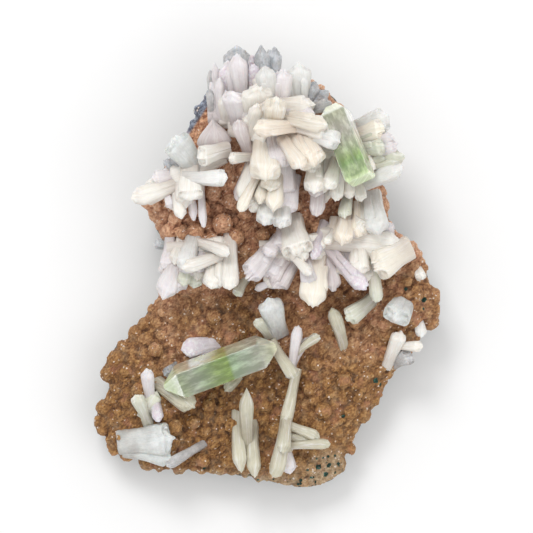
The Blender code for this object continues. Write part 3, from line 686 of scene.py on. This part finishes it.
# Each row is foot x, y, z, tip x, y, z, width, thickness, roll in degrees, how far the tip narrows,
# and tint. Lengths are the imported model's own, in mm
crystals = {}
crystals["crown"] = [
    # Broad crystals at the heart of the heap
    (-15.6, 42, 23.6, 10, 42.2, 26.4, 9, 5.4, 0, 0.3, "lilac"),
    (-9, 38, 25, 3, 36, 32, 8, 5.6, 8, 0.3, "ivory"),
    (3.2, 41, 27.6, 2.6, 16.4, 28.4, 11, 6.6, 4, 0.3, "lilac"),
    (6, 31, 27, 27.6, 30, 28.4, 9, 6, -6, 0.3, "ivory"),
    (23, 38.4, 23, 27.2, 21.6, 27, 6.4, 5, 10, 0.3, "ivory"),
    # Blades that stand out past it
    (-8, 42, 22.6, -8, 59.6, 27, 7.5, 4, 12, 0.35, "glass"),
    (-6, 42, 26, -8, 57.4, 33, 5, 2.8, -8, 0.6, "lilac"),
    (-10, 41, 23.6, -11.1, 54, 29.5, 4.2, 2.4, 30, 0.2, "rose"),
    (-12.5, 40, 23.6, -14, 54.8, 28, 2.6, 1.8, 40, 0.7, "lilac"),
    (-14.3, 41, 23, -15.2, 53, 25.6, 2, 1.5, 20, 0.6, "grey"),
    (-14.8, 39, 24, -15.3, 47.8, 28, 2.2, 1.8, 0, 0.3, "grey"),
    (-12.6, 39, 25, -12.6, 50.8, 31, 2.6, 2, -25, 0.6, "lilac"),
    (-1.2, 44, 25.6, -1.4, 59.6, 30, 4.2, 2.4, 10, 0.7, "glass"),
    (1.4, 43, 24, 2, 59.2, 26.5, 4.6, 3, -15, 0.3, "glass"),
    (-3.4, 43, 24, -3.7, 57.2, 27.5, 3, 2, 25, 0.3, "rose"),
    (-3.4, 43, 26, -3.4, 54.5, 30, 3.2, 2, 0, 0.2, "rose"),
    (0.8, 42, 29, -0.6, 53.8, 36, 5.6, 3.2, 12, 0.6, "white"),
    (4.6, 41, 29, 4.3, 53.3, 34, 5.6, 3, -10, 0.5, "lilac"),
    (8.8, 41, 25, 8.6, 55, 30, 6.6, 3.2, 14, 0.5, "white"),
    (9, 41, 25, 13.3, 49.8, 27, 4, 2.4, -20, 0.3, "glass"),
    (9, 41.4, 25, 16.8, 47.3, 26, 2.8, 2, 30, 0.3, "glass"),
    (8.6, 41, 26.6, 17.6, 44, 30, 3.4, 2.2, 10, 0.3, "grey"),
    # The heap
    (-7, 37, 26, -9.4, 47, 36, 6.2, 3.6, -30, 0.3, "lilac"),
    (-2.5, 37, 26, -2.5, 48.5, 38, 8.5, 3.4, 8, 0.6, "ivory"),
    (1, 43.5, 31, 12, 43.3, 36, 5.2, 3.2, 15, 0.5, "ivory"),
    (1.5, 35, 28, 2.6, 45, 42, 6, 4, 0, 0.5, "cream"),
    (8.5, 38, 33, -3.4, 36.6, 42, 4.8, 3.8, -12, 0.3, "peach"),
    (4, 40, 34, 16.3, 37.6, 42, 4.4, 3.4, 20, 0.4, "cream"),
    (8, 38.5, 28, 12.8, 26.8, 43, 8, 4.4, 14, 0.15, "peach"),
    (4.4, 34, 34, 9.6, 26.2, 44.5, 4.6, 3, -18, 0.2, "peach"),
    (-0.5, 34.5, 27, 0, 23.2, 42, 8.4, 5, -10, 0.45, "cream"),
    (-5, 33, 28, -2.4, 43.5, 38, 3.6, 2.6, 20, 0.4, "ivory"),
    (-4.4, 30, 27, -7.9, 39.6, 34, 4.4, 2.8, -15, 0.6, "dusk"),
    (-3, 29.4, 28, -10.3, 28.8, 34, 3.2, 2.4, -10, 0.2, "ivory"),
    (-3.6, 29, 26.6, -6.8, 17.8, 34, 4.2, 2.8, 12, 0.5, "ivory"),
    (-3.8, 29.4, 26.8, -8, 17.5, 31, 3.4, 2.4, -15, 0.4, "dusk"),
    (-2, 24.5, 30, -7.2, 14.6, 37.5, 3.2, 2.6, 10, 0.3, "cream"),
    (0, 22, 26.6, -4.4, 14.6, 33, 3.8, 2.6, -20, 0.4, "ivory"),
    (3, 26, 29.4, 1.7, 14.3, 39, 4.8, 3, 8, 0.85, "cream"),
    (7.4, 24.5, 26.6, 5.6, 14, 31.5, 5, 3, -20, 0.3, "lilac"),
    (0.6, 20.5, 26, -0.4, 10.9, 35, 5, 3.6, -12, 0.4, "white"),
    (4.6, 20.5, 26, 3.9, 10.1, 35.5, 5.2, 3.6, 14, 0.4, "white"),
    # Right arm, round the upper apophyllite
    (14, 30.4, 28, 12.6, 19.5, 38.5, 5.6, 3.6, 12, 0.4, "ivory"),
    (18.6, 29, 29, 16.3, 20.6, 37, 4.6, 3, -14, 0.3, "ivory"),
    (13.6, 27.6, 26, 13.5, 13.2, 31, 4.2, 2.4, 15, 0.3, "dusk"),
    (20.4, 27.4, 26.6, 18.4, 17.4, 32, 3.8, 2.4, -20, 0.4, "ivory"),
    (24.6, 25.4, 26, 25.5, 17.2, 31, 3.2, 2, 15, 0.3, "ivory"),
    (23.5, 21, 26, 36.9, 27, 32, 4.8, 3, -18, 0.4, "white"),
    (25, 27, 26, 37.2, 29.6, 32, 5.6, 3.2, 10, 0.5, "sage"),
    (25.5, 29.6, 27, 35.5, 33.2, 32, 4.6, 2.8, -12, 0.3, "lilac"),
    (22.5, 35.6, 23, 33.2, 40.6, 29, 6.6, 3.6, 10, 0.3, "white"),
    (22.8, 34.6, 24.4, 31.8, 37.2, 33, 5.8, 3.2, -10, 0.4, "cream"),
    (24, 31.4, 26.4, 31.8, 32.2, 35, 4.4, 2.8, 8, 0.4, "sage"),
    (24.4, 33.8, 26, 34.4, 34.6, 33, 2.8, 2, 25, 0.3, "lilac"),
    (26, 32, 28, 28.3, 25.4, 33, 2.8, 2, -10, 0.2, "ivory"),
    (12.4, 35.2, 35.6, 19.7, 33.1, 41.8, 5.2, 3.8, 0, 0.7, "white"),
]
crystals["left_arm"] = [
    (-11.8, 30.6, 25.6, -27, 22.4, 25.6, 7.6, 5, 0, 0.3, "ivory"),
    (-13.5, 29, 25, -14.6, 41, 31, 9.4, 3.6, 6, 1, "dusk"),
    (-10.6, 31.5, 28, -18.6, 29, 35, 5.6, 3.6, -20, 0.3, "ivory"),
    (-18, 25, 25, -25.3, 34.6, 34, 8, 4, 10, 0.25, "frost"),
    (-23, 25.4, 25, -27.8, 28.6, 28, 2.2, 1.6, 0, 0.4, "glass"),
    (-22.5, 24.6, 25, -31, 23.6, 28, 4.2, 2.2, 25, 0.3, "lilac"),
    (-21.5, 23.3, 25, -36.5, 18, 30, 5.2, 3.6, -14, 0.4, "ivory"),
    (-22.5, 21.8, 25, -33.5, 17.2, 28, 3.2, 2.4, 30, 0.4, "ivory"),
    (-20.5, 28.5, 25, -20.2, 17.6, 35, 6.8, 4, 6, 0.1, "ivory"),
    (-22, 23.8, 30, -10.3, 23.8, 36.5, 4.6, 3.4, -10, 0.1, "white"),
    (-24.6, 21.4, 25, -22.7, 12.7, 31, 3.4, 2.6, 12, 0.5, "ivory"),
    (-27.4, 21.4, 25, -25.6, 15.4, 28, 2.4, 1.8, 0, 0.3, "lilac"),
    (-17.6, 24.6, 26, -16.8, 10.2, 30, 2.2, 1.8, 20, 0.5, "lilac"),
]
crystals["left_fan"] = [
    (-26.6, 3.6, 22.6, -8.6, 4.4, 24.6, 7.6, 5, 0, 0.3, "ivory"),
    (-26, 7.6, 21.6, -27.4, -1, 26, 3.6, 2.4, 15, 0.4, "lilac"),
    (-24, 3.4, 23, -27.9, -9, 28, 5.8, 3.4, -12, 0.6, "lilac"),
    (-24.6, 5.2, 22, -30.6, 6.4, 22, 2.8, 2, 20, 0.3, "glass"),
    (-19.4, 8, 23, -21.8, -1.2, 33, 5.4, 3.4, 20, 0.5, "white"),
    (-11.2, 3.3, 26, -22.6, -0.6, 34, 3.8, 3, -20, 0.4, "ivory"),
    (-19.4, 6.8, 24, -9.8, 3.6, 33.5, 3.4, 2.8, 12, 0.2, "ivory"),
    (-9.8, 8.4, 22, -9.9, -6.3, 33, 4.8, 3.6, 6, 0.25, "ivory"),
    (-13, 4, 23, -14.8, -6.1, 31, 5.4, 3.4, -10, 0.3, "ivory"),
    (-21.2, 2.4, 23, -22.3, -5.4, 28.5, 3.6, 2.6, 10, 0.4, "sage"),
    (-18.6, 2.4, 23, -19.6, -6, 26, 4.2, 2.6, -8, 0.3, "sage"),
]
crystals["ledge_teeth"] = [
    (-1.6, 4, 23.6, 17.6, 5.6, 25.6, 8, 5, 4, 0.3, "ivory"),
    (14, 7.6, 24.6, 37, 4.6, 24.4, 8.4, 5.4, -6, 0.3, "ivory"),
    (6.5, 12.5, 24, 8.6, 3, 34, 8.6, 4.6, 10, 0.3, "ivory"),
    (3, 6, 23, -5.6, -3.6, 31, 6.2, 3.6, -14, 0.4, "lilac"),
    (4.2, 9, 24, -0.2, 2.8, 31, 4.2, 2.6, 10, 0.4, "lilac"),
    (8, 3.6, 23.6, 1.6, -6.1, 26, 6.6, 3, 12, 0.3, "dusk"),
    (3.6, -3.4, 25.2, -3.2, -6.3, 23.6, 2.2, 1.8, 0, 0.3, "lilac"),
    (13.8, 4.4, 23, 12.3, -11.3, 33, 7.4, 4, 6, 0.6, "cream"),
    (6.2, 3.6, 29, 12, -2.3, 35, 2.8, 2.2, 15, 0.3, "ivory"),
    (16, 4, 23.6, 18.2, -7, 26, 4.4, 2.6, -10, 0.4, "dusk"),
    (15.6, 12, 24, 12.3, 1.8, 30, 3.2, 2.2, -30, 0.3, "rose"),
    (18.2, 9.6, 25.6, 15.8, 6.1, 31, 2.4, 1.8, 20, 0.3, "ivory"),
    (21.5, 14, 24, 20.2, 5.6, 33, 5, 3.4, -8, 0.8, "peach"),
    (22.5, 13, 24, 25.9, 9.2, 30.5, 5.2, 3, 10, 0.4, "ivory"),
    (28.4, 19.6, 23, 29.9, 8.2, 32, 6.4, 3.4, 12, 0.6, "white"),
    (33.4, 5.2, 22, 32.6, 12.2, 25, 3.2, 2, 0, 0.3, "lilac"),
    (38.2, 5, 22, 28.2, -0.8, 32, 8.6, 3.8, -10, 0.5, "cream"),
    (24.5, 8.6, 23, 25, -2.8, 30, 5.8, 3.2, 10, 0.3, "ivory"),
    (17, 4.6, 25, 26.8, -6.2, 33, 4.4, 3, -15, 0.3, "rose"),
    (29, 3.4, 24, 29.8, -10, 27, 3.6, 2.6, 10, 0.3, "sage"),
]
crystals["pale_blade"] = [(22.6, 21.8, 22.4, 20.8, 12.8, 29.4, 3.8, 2, 35, 0.2, "sage")]
crystals["ledge_foot"] = [(29.6, -8, 18, 21, -14.4, 25, 5.2, 2.8, -10, 0.3, "sage")]
crystals["ledge_bud"] = [(-5.4, -3.2, 18.6, -8.2, -8, 23, 3, 2.2, 10, 0.2, "sage")]
crystals["right_block"] = [(38.8, -7.6, 15, 34.3, -14.6, 27, 7.6, 4.6, 12, 0.25, "frost")]
crystals["right_bud"] = [(40.6, -11.4, 14, 42, -19.2, 21, 3.1, 2.4, 10, 0.4, "white")]
crystals["edge_spray"] = [
    (32.4, -27.2, 13, 36.4, -17.4, 22, 4.2, 2.8, 14, 0.3, "ivory"),
    (35, -21.2, 16, 42.2, -21.5, 23, 3, 2.6, 0, 0.4, "ivory"),
    (34.4, -26.2, 13, 39.2, -24, 18.5, 4.6, 3, 10, 0.2, "grey"),
]
crystals["edge_bud"] = [(40.4, 1.4, 15, 41.9, -3.4, 22.5, 3, 2.4, 10, 0.3, "ivory")]
crystals["shield"] = [
    (3.4, -18.4, 16, 0.4, -8.4, 26, 6.8, 3.6, 8, 0.5, "frost"),
    (0.6, -19, 17.6, -2.9, -14.2, 24.5, 3, 2.2, -10, 0.4, "sage"),
]
crystals["rear_blade"] = [(-8, -20.8, 13, -23.2, -22.4, 20, 5.6, 3, 14, 0.3, "rose")]
crystals["rear_bud"] = [(-23.6, -26, 13.5, -27.6, -29.4, 19.5, 3, 2.2, 0, 0.4, "glass")]
crystals["under_blade"] = [(-4.6, -27.8, 13, -11.4, -33.6, 19.5, 3, 2.2, 10, 0.3, "straw")]
crystals["corner_sheaf"] = [
    (-31, -30.6, 14, -19, -38.2, 22.5, 5.4, 3.4, -12, 0.4, "straw"),
    (-31.4, -39, 14.6, -32.4, -27.4, 22, 3.6, 2.6, 10, 0.3, "lilac"),
    (-30.4, -33, 14, -29.1, -42, 21.5, 3, 2.2, 20, 0.4, "rose"),
    (-32, -42.4, 15.6, -35.4, -34.6, 22, 3.8, 2.6, -12, 0.2, "sage"),
    (-33.6, -41, 16.4, -29.6, -33.6, 17.4, 4.4, 2.6, 0, 0.3, "sage"),
]
crystals["white_plates"] = [
    (-39.6, -47.6, 12.4, -24.6, -46.4, 20.4, 8.8, 4.4, 4, 0.3, "frost"),
    (-38.2, -49.9, 12.6, -25.6, -52, 18.4, 5.2, 3.4, -8, 0.3, "frost"),
    (-16.8, -48, 13, -27.2, -54, 19, 3, 2.2, 12, 0.3, "grey"),
]
crystals["tall_trio"] = [
    (-4.9, -49.8, 15, -5.3, -32.7, 27, 3.9, 2.6, 8, 0.85, "straw"),
    (-8.2, -38.6, 14, -6.8, -55.6, 22, 3.8, 2.6, -12, 0.6, "straw"),
    (-3.6, -42, 14, -3.2, -57, 21.5, 3.8, 2.6, 14, 0.6, "straw"),
]
crystals["branch"] = [
    (1.2, -20, 21.5, 8, -30.4, 19.6, 3.6, 2.8, 10, 0.1, "straw"),
    (6.4, -30, 17.6, 8.6, -15.8, 22.4, 3, 2.4, -15, 0.3, "lilac"),
    (7.6, -23.6, 19, 14.4, -18.4, 23, 2.6, 2.2, 10, 0.2, "straw"),
    (8.2, -27.6, 18.6, 5, -42.6, 20.4, 3.4, 2.8, 8, 0.1, "straw"),
    (5.6, -39.6, 19, 2.2, -57.2, 20.6, 4.2, 3.4, -10, 0.2, "straw"),
    (5.6, -41, 19.6, 4.4, -50.4, 24, 3.6, 2.8, 15, 0.3, "straw"),
    (3.6, -48.6, 18.6, 17.4, -47.8, 21, 2.8, 2.4, 10, 0.2, "straw"),
    (4.6, -42.4, 19, 14.6, -46.4, 19.5, 3.2, 2.6, -10, 0.3, "straw"),
    (4.4, -46.6, 17.6, 6.4, -56.2, 18, 4, 3, 6, 0.3, "lilac"),
]
crystals["lone_blade"] = [(21.4, -24.2, 13, 17.6, -11.2, 24.5, 3.7, 2.8, 8, 0.4, "straw")]


def axesOf(foot, tip):  # across, up and along
    along = (tip - foot).normalized()
    across = along.cross(Vector((0, 0, 1))).normalized()
    return across, across.cross(along), along


def layAlong(bm, foot, tip, roll):  # lays a shape built up the Z axis from foot to tip
    axes = axesOf(foot, tip)
    turned = Matrix.Rotation(math.radians(roll), 3, axes[2]) @ Matrix(axes).transposed()
    bmesh.ops.transform(bm, matrix=Matrix.Translation(foot) @ turned.to_4x4(), verts=bm.verts)


def smoothStep(low, high, value):
    share = min(1, max(0, (value - low) / (high - low)))
    return share * share * (3 - 2 * share)


def blankBox():  # a unit box cut into rows across, deep and along
    bm = bmesh.new()
    bmesh.ops.create_cube(bm, size=1)
    for axis, cuts in enumerate(stilbite["cuts"]):
        rows = [edge for edge in bm.edges
                if abs(edge.verts[0].co[axis] - edge.verts[1].co[axis]) > 1e-5]
        bmesh.ops.subdivide_edges(bm, edges=rows, cuts=cuts, use_grid_fill=True)
    return meshFrom(bm, "blank")


def shoulderAt(point):
    shoulder = stilbite["shoulder"] - stilbite["pointedDrop"] * point
    return shoulder - (stilbite["needleDrop"] if point >= 1 else 0)


def widthAt(share, point):  # width along a blade, from foot to tip
    foot = stilbite["foot"]
    waistAt, waist = stilbite["waist"]
    shoulder = shoulderAt(point)
    if share < waistAt:
        return foot + (waist - foot) * smoothStep(0, waistAt, share)
    if share < shoulder:
        return waist + (1 - waist) * smoothStep(waistAt, shoulder, share)
    return 1 - point * ((share - shoulder) / (1 - shoulder)) ** stilbite["taper"]


def growBlade(crystal, chance):
    foot, tip, width, thickness, roll, point, tintName = crystal
    foot, tip = Vector(foot) * mm, Vector(tip) * mm
    width, thickness = width * mm, thickness * mm
    length = (tip - foot).length
    shoulder = shoulderAt(point)
    columns = stilbite["cuts"][0] + 2
    plates = stilbite["plates"]
    bow, sway = (chance.uniform(-1, 1) * stilbite["bow"] for _ in range(2))
    step = chance.choice(stilbite["steps"]) * width
    flutes = [chance.uniform(-1, 1) * stilbite["flutes"] * thickness for _ in range(columns)]
    steps = [chance.uniform(*stilbite["stepRange"]) * step for _ in range(plates + 1)]
    twist = math.radians(chance.uniform(-1, 1) * stilbite["twist"])
    tone = chance.uniform(*stilbite["tone"])
    shift = chance.uniform(0, stilbite["grainShift"])
    *shade, glassy, glitter = tints[tintName]
    tint = (*(min(1, part * tone) for part in shade), glassy)
    chevron = stilbite["chevron"] * width
    blunt = 1 - point * stilbite["chevronPointed"]
    bm = bmesh.new()
    bm.from_mesh(blank)
    tintLayer = bm.loops.layers.float_color.new("tint")
    grainLayer = bm.loops.layers.uv.new("grain")
    glitterLayer = bm.loops.layers.uv.new("glitter")
    grains, edges = {}, {}
    for vert in bm.verts:
        across, deep, along = vert.co * 2
        share = 1 - (1 - (along + 1) / 2) ** stilbite["crowding"]
        end = smoothStep(shoulder, 1, share)
        column = round((across + 1) / 2 * (columns - 1))
        plate = round((across + 1) / 2 * plates)
        half = width / 2 * widthAt(share, point) * (1 - stilbite["faceNarrow"] * deep**4)
        depth = thickness / 2 * (0.5 + 0.5 * widthAt(share, 0.2))
        depth *= 1 - stilbite["dome"] * across**4
        depth *= 1 - (1 - stilbite["chisel"]) * end
        x = across * half
        y = deep * depth + math.copysign(flutes[column] * abs(deep), deep)
        z = length * share - abs(across) * chevron * end * blunt
        z += steps[plate] * end - deep * deep * thickness * stilbite["endDome"] * end
        x += sway * length * math.sin(math.pi * share)
        y += bow * length * math.sin(math.pi * share)
        sine, cosine = math.sin(twist * share), math.cos(twist * share)
        edges[vert] = abs(across)
        grains[vert] = (across * width / 2 + 0.5 * y + shift, share)
        vert.co = (x * cosine - y * sine, x * sine + y * cosine, z)
    for face in bm.faces:
        for loop in face.loops:
            loop[tintLayer] = tint
            loop[grainLayer].uv = grains[loop.vert]
            loop[glitterLayer].uv = (glitter, edges[loop.vert])
    layAlong(bm, foot, tip, roll)
    bmesh.ops.recalc_face_normals(bm, faces=bm.faces)
    return meshFrom(bm, "blade")


def growRider(crystal, chance):
    foot, tip, width, thickness, roll, _, tintName = crystal
    foot, tip = Vector(foot), Vector(tip)
    across, up, _ = axesOf(foot, tip)
    side = chance.choice((-1, 1)) * chance.uniform(*riders["aside"]) * width
    shift = across * side + up * thickness * chance.uniform(*riders["over"])
    start = foot.lerp(tip, chance.uniform(*riders["start"])) + shift
    end = foot.lerp(tip, chance.uniform(*riders["end"])) + shift
    narrow = width * chance.uniform(*riders["width"])
    roll += chance.uniform(-riders["roll"], riders["roll"])
    return (start, end, narrow, thickness * riders["thickness"], roll, riders["point"], tintName)


def areNeighbours(first, second):
    low, high = fillers["reach"]
    (foot, tip), (foot2, tip2) = (map(Vector, crystal[:2]) for crystal in (first, second))
    near = low < (tip - tip2).length < high and (foot - foot2).length <= high
    return near and (tip - foot).angle(tip2 - foot2) <= fillers["angle"]


def fillBetween(first, second, chance):
    feet, tips = ([Vector(crystal[end]) for crystal in (first, second)] for end in (0, 1))
    sunk = chance.uniform(*fillers["sunk"])
    foot = feet[0].lerp(feet[1], 0.5) - Vector((0, 0, fillers["footSunk"]))
    goal = tips[0].lerp(tips[1], chance.uniform(*fillers["between"]))
    tip = foot.lerp(goal, chance.uniform(*fillers["length"]))
    tip.z = max(foot.z + fillers["footSunk"], tip.z - sunk)
    size = chance.uniform(*fillers["size"])
    width, thickness = (size * (first[part] + second[part]) for part in (2, 3))
    tintName = chance.choice((first[6], second[6], *fillers["tints"]))
    roll = chance.uniform(-fillers["roll"], fillers["roll"])
    return (foot, tip, width, thickness, roll, chance.uniform(*fillers["point"]), tintName)


def fillGaps(group, chance):
    made = []
    for number, first in enumerate(group):
        partners = [second for second in group[number + 1:] if areNeighbours(first, second)]
        for second in partners[:fillers["partners"]]:
            made.append(fillBetween(first, second, chance))
    return made


def join(meshes):  # one closed mesh from blades that overlap
    if len(meshes) == 1:
        return meshes[0]
    group = bpy.data.collections.new("blades")
    for mesh in meshes[1:]:
        group.objects.link(bpy.data.objects.new("blade", mesh))
    settings = {"operation": "UNION", "solver": "MANIFOLD", "operand_type": "COLLECTION"}
    made = evaluatedMesh(meshes[0], [("BOOLEAN", {**settings, "collection": group})])
    for blade in list(group.objects):
        bpy.data.objects.remove(blade)
    bpy.data.collections.remove(group)
    return made


def stilbiteFinish():
    look = Finish("pearlyStilbite")
    place = look.objectPlace()
    tint, glassy = look.attribute("tint", 0), look.attribute("tint", 3)
    extra = look.uv("glitter")
    glitter = look.part(extra, 0)
    edge = look.part(extra, 1).rise(0.55, 1)
    grain = look.uv("grain")
    share = look.part(grain, 1)
    long = look.stretched(grain, 1 / mm, 1.1, 1)
    streaks = look.noise(long, 1.2, 4, 0.65)
    threads = look.noise(long, 3.6, 3, 0.6)
    mottle = look.noise(look.stretched(grain, 0.8 / mm, 6, 1), 2.2, 4, 0.7).rise(0.42, 0.62)
    clouds = look.noise(place, 190, 3)
    smoky = (share * -1 + 0.75 + clouds * 0.5 - 0.25).rise(0, 0.7)  # greyer, clearer at the foot
    dice = look.dice(place, 1900)
    # glitter patches: a pink tint, and in them painted sparkles, near-white random cells for
    # glints, which are also made shinier
    patch = glitter * (look.noise(place, 230, 2) + share * 0.4 - 0.2).rise(0.38, 0.6)
    spark = patch * dice.rise(0.45, 0.8)
    colour = look.mix(streaks.rise(0.48, 0.66) * 0.7, tint, (0.93, 0.92, 0.9))
    colour = look.layers(
        colour,
        (smoky * 0.6, (0.8, 0.74, 0.72)),
        (clouds.rise(0.5, 0.75) * 0.3, (0.87, 0.81, 0.83)),
        (threads.rise(0.5, 0.7) * 0.5, (0.8, 0.77, 0.75)),
        (edge * 0.3, (0.86, 0.82, 0.78)),
        ((mottle * glassy * 1.6).rise(0, 1), (0.76, 0.8, 0.8)),
        blend="MULTIPLY",
    )
    colour = look.layers(colour, (patch * 0.3, (0.8, 0.64, 0.78)), (spark, (0.98, 0.93, 0.97)))
    bump = look.bumps(
        (streaks, 0.26 * mm, 0.9), (threads, 0.11 * mm, 0.8),
        (look.noise(place, 1500, 2), 0.03 * mm, 0.5),
        (dice * patch, 0.25 * mm, 0.8), (mottle * glassy, 0.35 * mm, 0.9),
    )
    pearl = look.principled(
        Base_Color=colour, Roughness=0.28 + streaks * 0.2 - spark * 0.2, Normal=bump, IOR=1.5,
        Subsurface_Weight=0.6, Subsurface_Scale=0.9 * mm, Subsurface_Radius=(1, 0.88, 0.78),
    )
    white = (0.97, 0.97, 0.97)
    clear = look.principled(
        Base_Color=white, Roughness=0.08, Normal=bump, IOR=1.5, Transmission_Weight=1)
    cover = look.noise(place, 260, 3).rise(0.35, 0.65)
    clearness = glassy * (0.3 + cover * 0.7) + smoky * 0.1 + edge * 0.08
    return look.done(look.blendShaders(clearness, pearl, clear))


blank = blankBox()
pearlFinish = stilbiteFinish()
chance = random.Random(stilbite["seed"])
for name, rows in crystals.items():
    nodeName = "stilbite_" + name
    group = [(row[:3], row[3:6], *row[6:]) for row in rows]
    wide = [crystal for crystal in group
            if crystal[2] >= riders["hostWidth"] and chance.random() < riders["often"]]
    added = [growRider(crystal, chance) for crystal in wide]
    if len(group) >= stilbite["fillGroup"]:
        added += fillGaps(group, chance)
    joined = join([growBlade(crystal, chance) for crystal in group + added])
    joined.shade_smooth()
    joined.set_sharp_from_angle(angle=math.radians(stilbite["sharp"]))
    placePiece(pieceNameOf(nodeName), joined, pearlFinish, [nodeName])


# Apophyllite prisms
prismBevel = 0.2 * mm
prisms = {
    "apophyllite_lower": {
        "ends": ((-27.6, -32.6, 22), (2.6, -21.4, 23.4)),
        "side": 7.4,
        "roll": 20,
        "streakDepth": 0.14,
        "points": (4.6, 4.4),  # length of the sloping faces at each end
        "flats": (0.18, 0.22),  # what they leave of the side, as a share
        "bands": [  # colour along the prism, as a share of its length
            (0, (0.52, 0.64, 0.34)), (0.13, (0.66, 0.74, 0.5)), (0.26, (0.7, 0.76, 0.62)),
            (0.36, (0.62, 0.74, 0.5)), (0.46, (0.54, 0.69, 0.3)), (0.575, (0.48, 0.65, 0.21)),
            (0.6, (0.66, 0.82, 0.58)), (0.74, (0.76, 0.85, 0.7)), (0.86, (0.78, 0.8, 0.68)),
            (1, (0.8, 0.8, 0.54)),
        ],
    },
    "apophyllite_upper": {
        "ends": ((17.6, 43, 32), (25.2, 23, 38.6)),
        "side": 7,
        "roll": 12,
        "streakDepth": 0.05,
        "points": (2.6, 0.5),
        "flats": (0.45, 0.86),
        "bands": [
            (0, (0.7, 0.73, 0.54)), (0.35, (0.95, 0.92, 0.85)), (0.58, (0.76, 0.82, 0.6)),
            (0.72, (0.5, 0.66, 0.28)), (0.79, (0.46, 0.68, 0.3)), (0.83, (0.66, 0.8, 0.48)),
            (1, (0.68, 0.8, 0.48)),
        ],
    },
}


def raiseRing(bm, cap, rise, scale):  # extrudes the end face up and scales it
    isFirst = len(bm.faces) == 1
    made = bmesh.ops.extrude_face_region(bm, geom=[cap])["geom"]
    if not isFirst:
        bmesh.ops.delete(bm, geom=[cap], context="FACES_ONLY")
    verts = [item for item in made if isinstance(item, bmesh.types.BMVert)]
    bmesh.ops.translate(bm, vec=(0, 0, rise), verts=verts)
    centre = sum((vert.co for vert in verts), Vector()) / len(verts)
    bmesh.ops.scale(bm, vec=(scale, scale, 1), verts=verts, space=Matrix.Translation(-centre))
    return next(item for item in made if isinstance(item, bmesh.types.BMFace))


def buildPrism(prism):
    foot, tip = (Vector(end) * mm for end in prism["ends"])
    length = (tip - foot).length
    low, high = (point * mm for point in prism["points"])
    lowFlat, highFlat = prism["flats"]
    side = prism["side"] * mm
    bm = bmesh.new()
    bmesh.ops.create_grid(bm, x_segments=1, y_segments=1, size=side * lowFlat / 2)
    cap = raiseRing(bm, bm.faces[:][0], low, 1 / lowFlat)
    cap = raiseRing(bm, cap, length - low - high, 1)
    raiseRing(bm, cap, high, highFlat)
    bmesh.ops.bevel(
        bm, geom=bm.edges[:], offset=prismBevel, segments=1, profile=0.5, affect="EDGES",
        material=-1)
    bmesh.ops.recalc_face_normals(bm, faces=bm.faces)
    grainLayer = bm.loops.layers.uv.new("grain")
    for face in bm.faces:
        for loop in face.loops:
            place = loop.vert.co
            loop[grainLayer].uv = (place.x + 0.7 * place.y, place.z / length)
    layAlong(bm, foot, tip, prism["roll"])
    return meshFrom(bm, "prism")


def apophylliteFinish(name, prism):
    look = Finish(name + "Glass")
    grain = look.uv("grain")
    wander = look.noise(look.objectPlace(), 150, 3)
    along = look.part(grain, 1) + wander * 0.04 - 0.02
    bands = look.ramp(along, prism["bands"])
    streaks = look.noise(look.stretched(grain, 1 / mm, 1.2, 1), 1.6, 3, 0.6)
    veil = look.noise(look.stretched(grain, 0.5 / mm, 5, 1), 1, 4, 0.6).rise(0.4, 0.7)
    bump = look.bumps((streaks, prism["streakDepth"] * mm, 0.9))
    clear = look.principled(
        Base_Color=bands, Roughness=0.05, Normal=bump, IOR=1.535, Transmission_Weight=1)
    pale = look.mix(streaks.rise(0.5, 0.7) * 0.45, bands, (0.92, 0.93, 0.86))
    milk = look.principled(
        Base_Color=pale, Roughness=0.2, Normal=bump, IOR=1.535,
        Subsurface_Weight=0.8, Subsurface_Scale=2 * mm, Subsurface_Radius=(0.9, 1, 0.85),
    )
    ends = along.rise(0.15, 0.06) + along.rise(0.94, 0.99)  # the end faces are cloudier
    surface = look.blendShaders(veil * 0.36 + ends * 0.4 + 0.27, clear, milk)
    tinge = {"Color": (0.75, 0.9, 0.7), "Density": 20.0}
    return look.done(surface, look.node("VolumeAbsorption", None, tinge))


for nodeName, prism in prisms.items():
    pieceName = pieceNameOf(nodeName)
    look = apophylliteFinish(pieceName, prism)
    placePiece(pieceName, buildPrism(prism), look, [nodeName])


# Stage
stage = {
    "picture": 533,  # pixels on a side
    "grain": 0.27 * mm,  # one pixel on the specimen
    "level": 20 * mm,  # height of that scale, and of the lamps' aim
    "distance": 1.6,
    "sensor": 36,
    "floor": 3,  # half of its side
    "sky": 0.78,
    "lamps": {  # place, size and power
        "keyLamp": ((-0.25, 0.6, 0.9), 0.4, 4.4),
        "fillLamp": ((0.6, -0.3, 0.8), 0.8, 1.8),
    },
}


camera = bpy.data.cameras.new("camera")
camera.sensor_width = stage["sensor"]
camera.lens = stage["sensor"] * stage["distance"] / (stage["picture"] * stage["grain"])
scene.camera = linked("camera", camera)
scene.camera.location = (0, 0, stage["level"] + stage["distance"])

world = bpy.data.worlds.new("sky")
world.use_nodes = True
sky = world.node_tree.nodes["Background"]
sky.inputs["Color"].default_value = (1, 1, 1, 1)
sky.inputs["Strength"].default_value = stage["sky"]
scene.world = world
scene.view_settings.view_transform = "Standard"

bm = bmesh.new()
bmesh.ops.create_grid(bm, x_segments=1, y_segments=1, size=stage["floor"])
look = Finish("paleFloor")
look.done(look.principled(Base_Color=(0.9, 0.9, 0.9), Roughness=0.9))
floor = linked("floor", meshFrom(bm, "floor"))
floor.data.materials.append(look.material)

for name, (place, size, power) in stage["lamps"].items():
    lamp = bpy.data.lights.new(name, "AREA")
    lamp.size = size
    lamp.energy = power
    holder = linked(name, lamp)
    holder.location = place
    way = Vector((0, 0, stage["level"])) - Vector(place)
    holder.rotation_euler = way.to_track_quat("-Z", "Y").to_euler()
print("stage done")
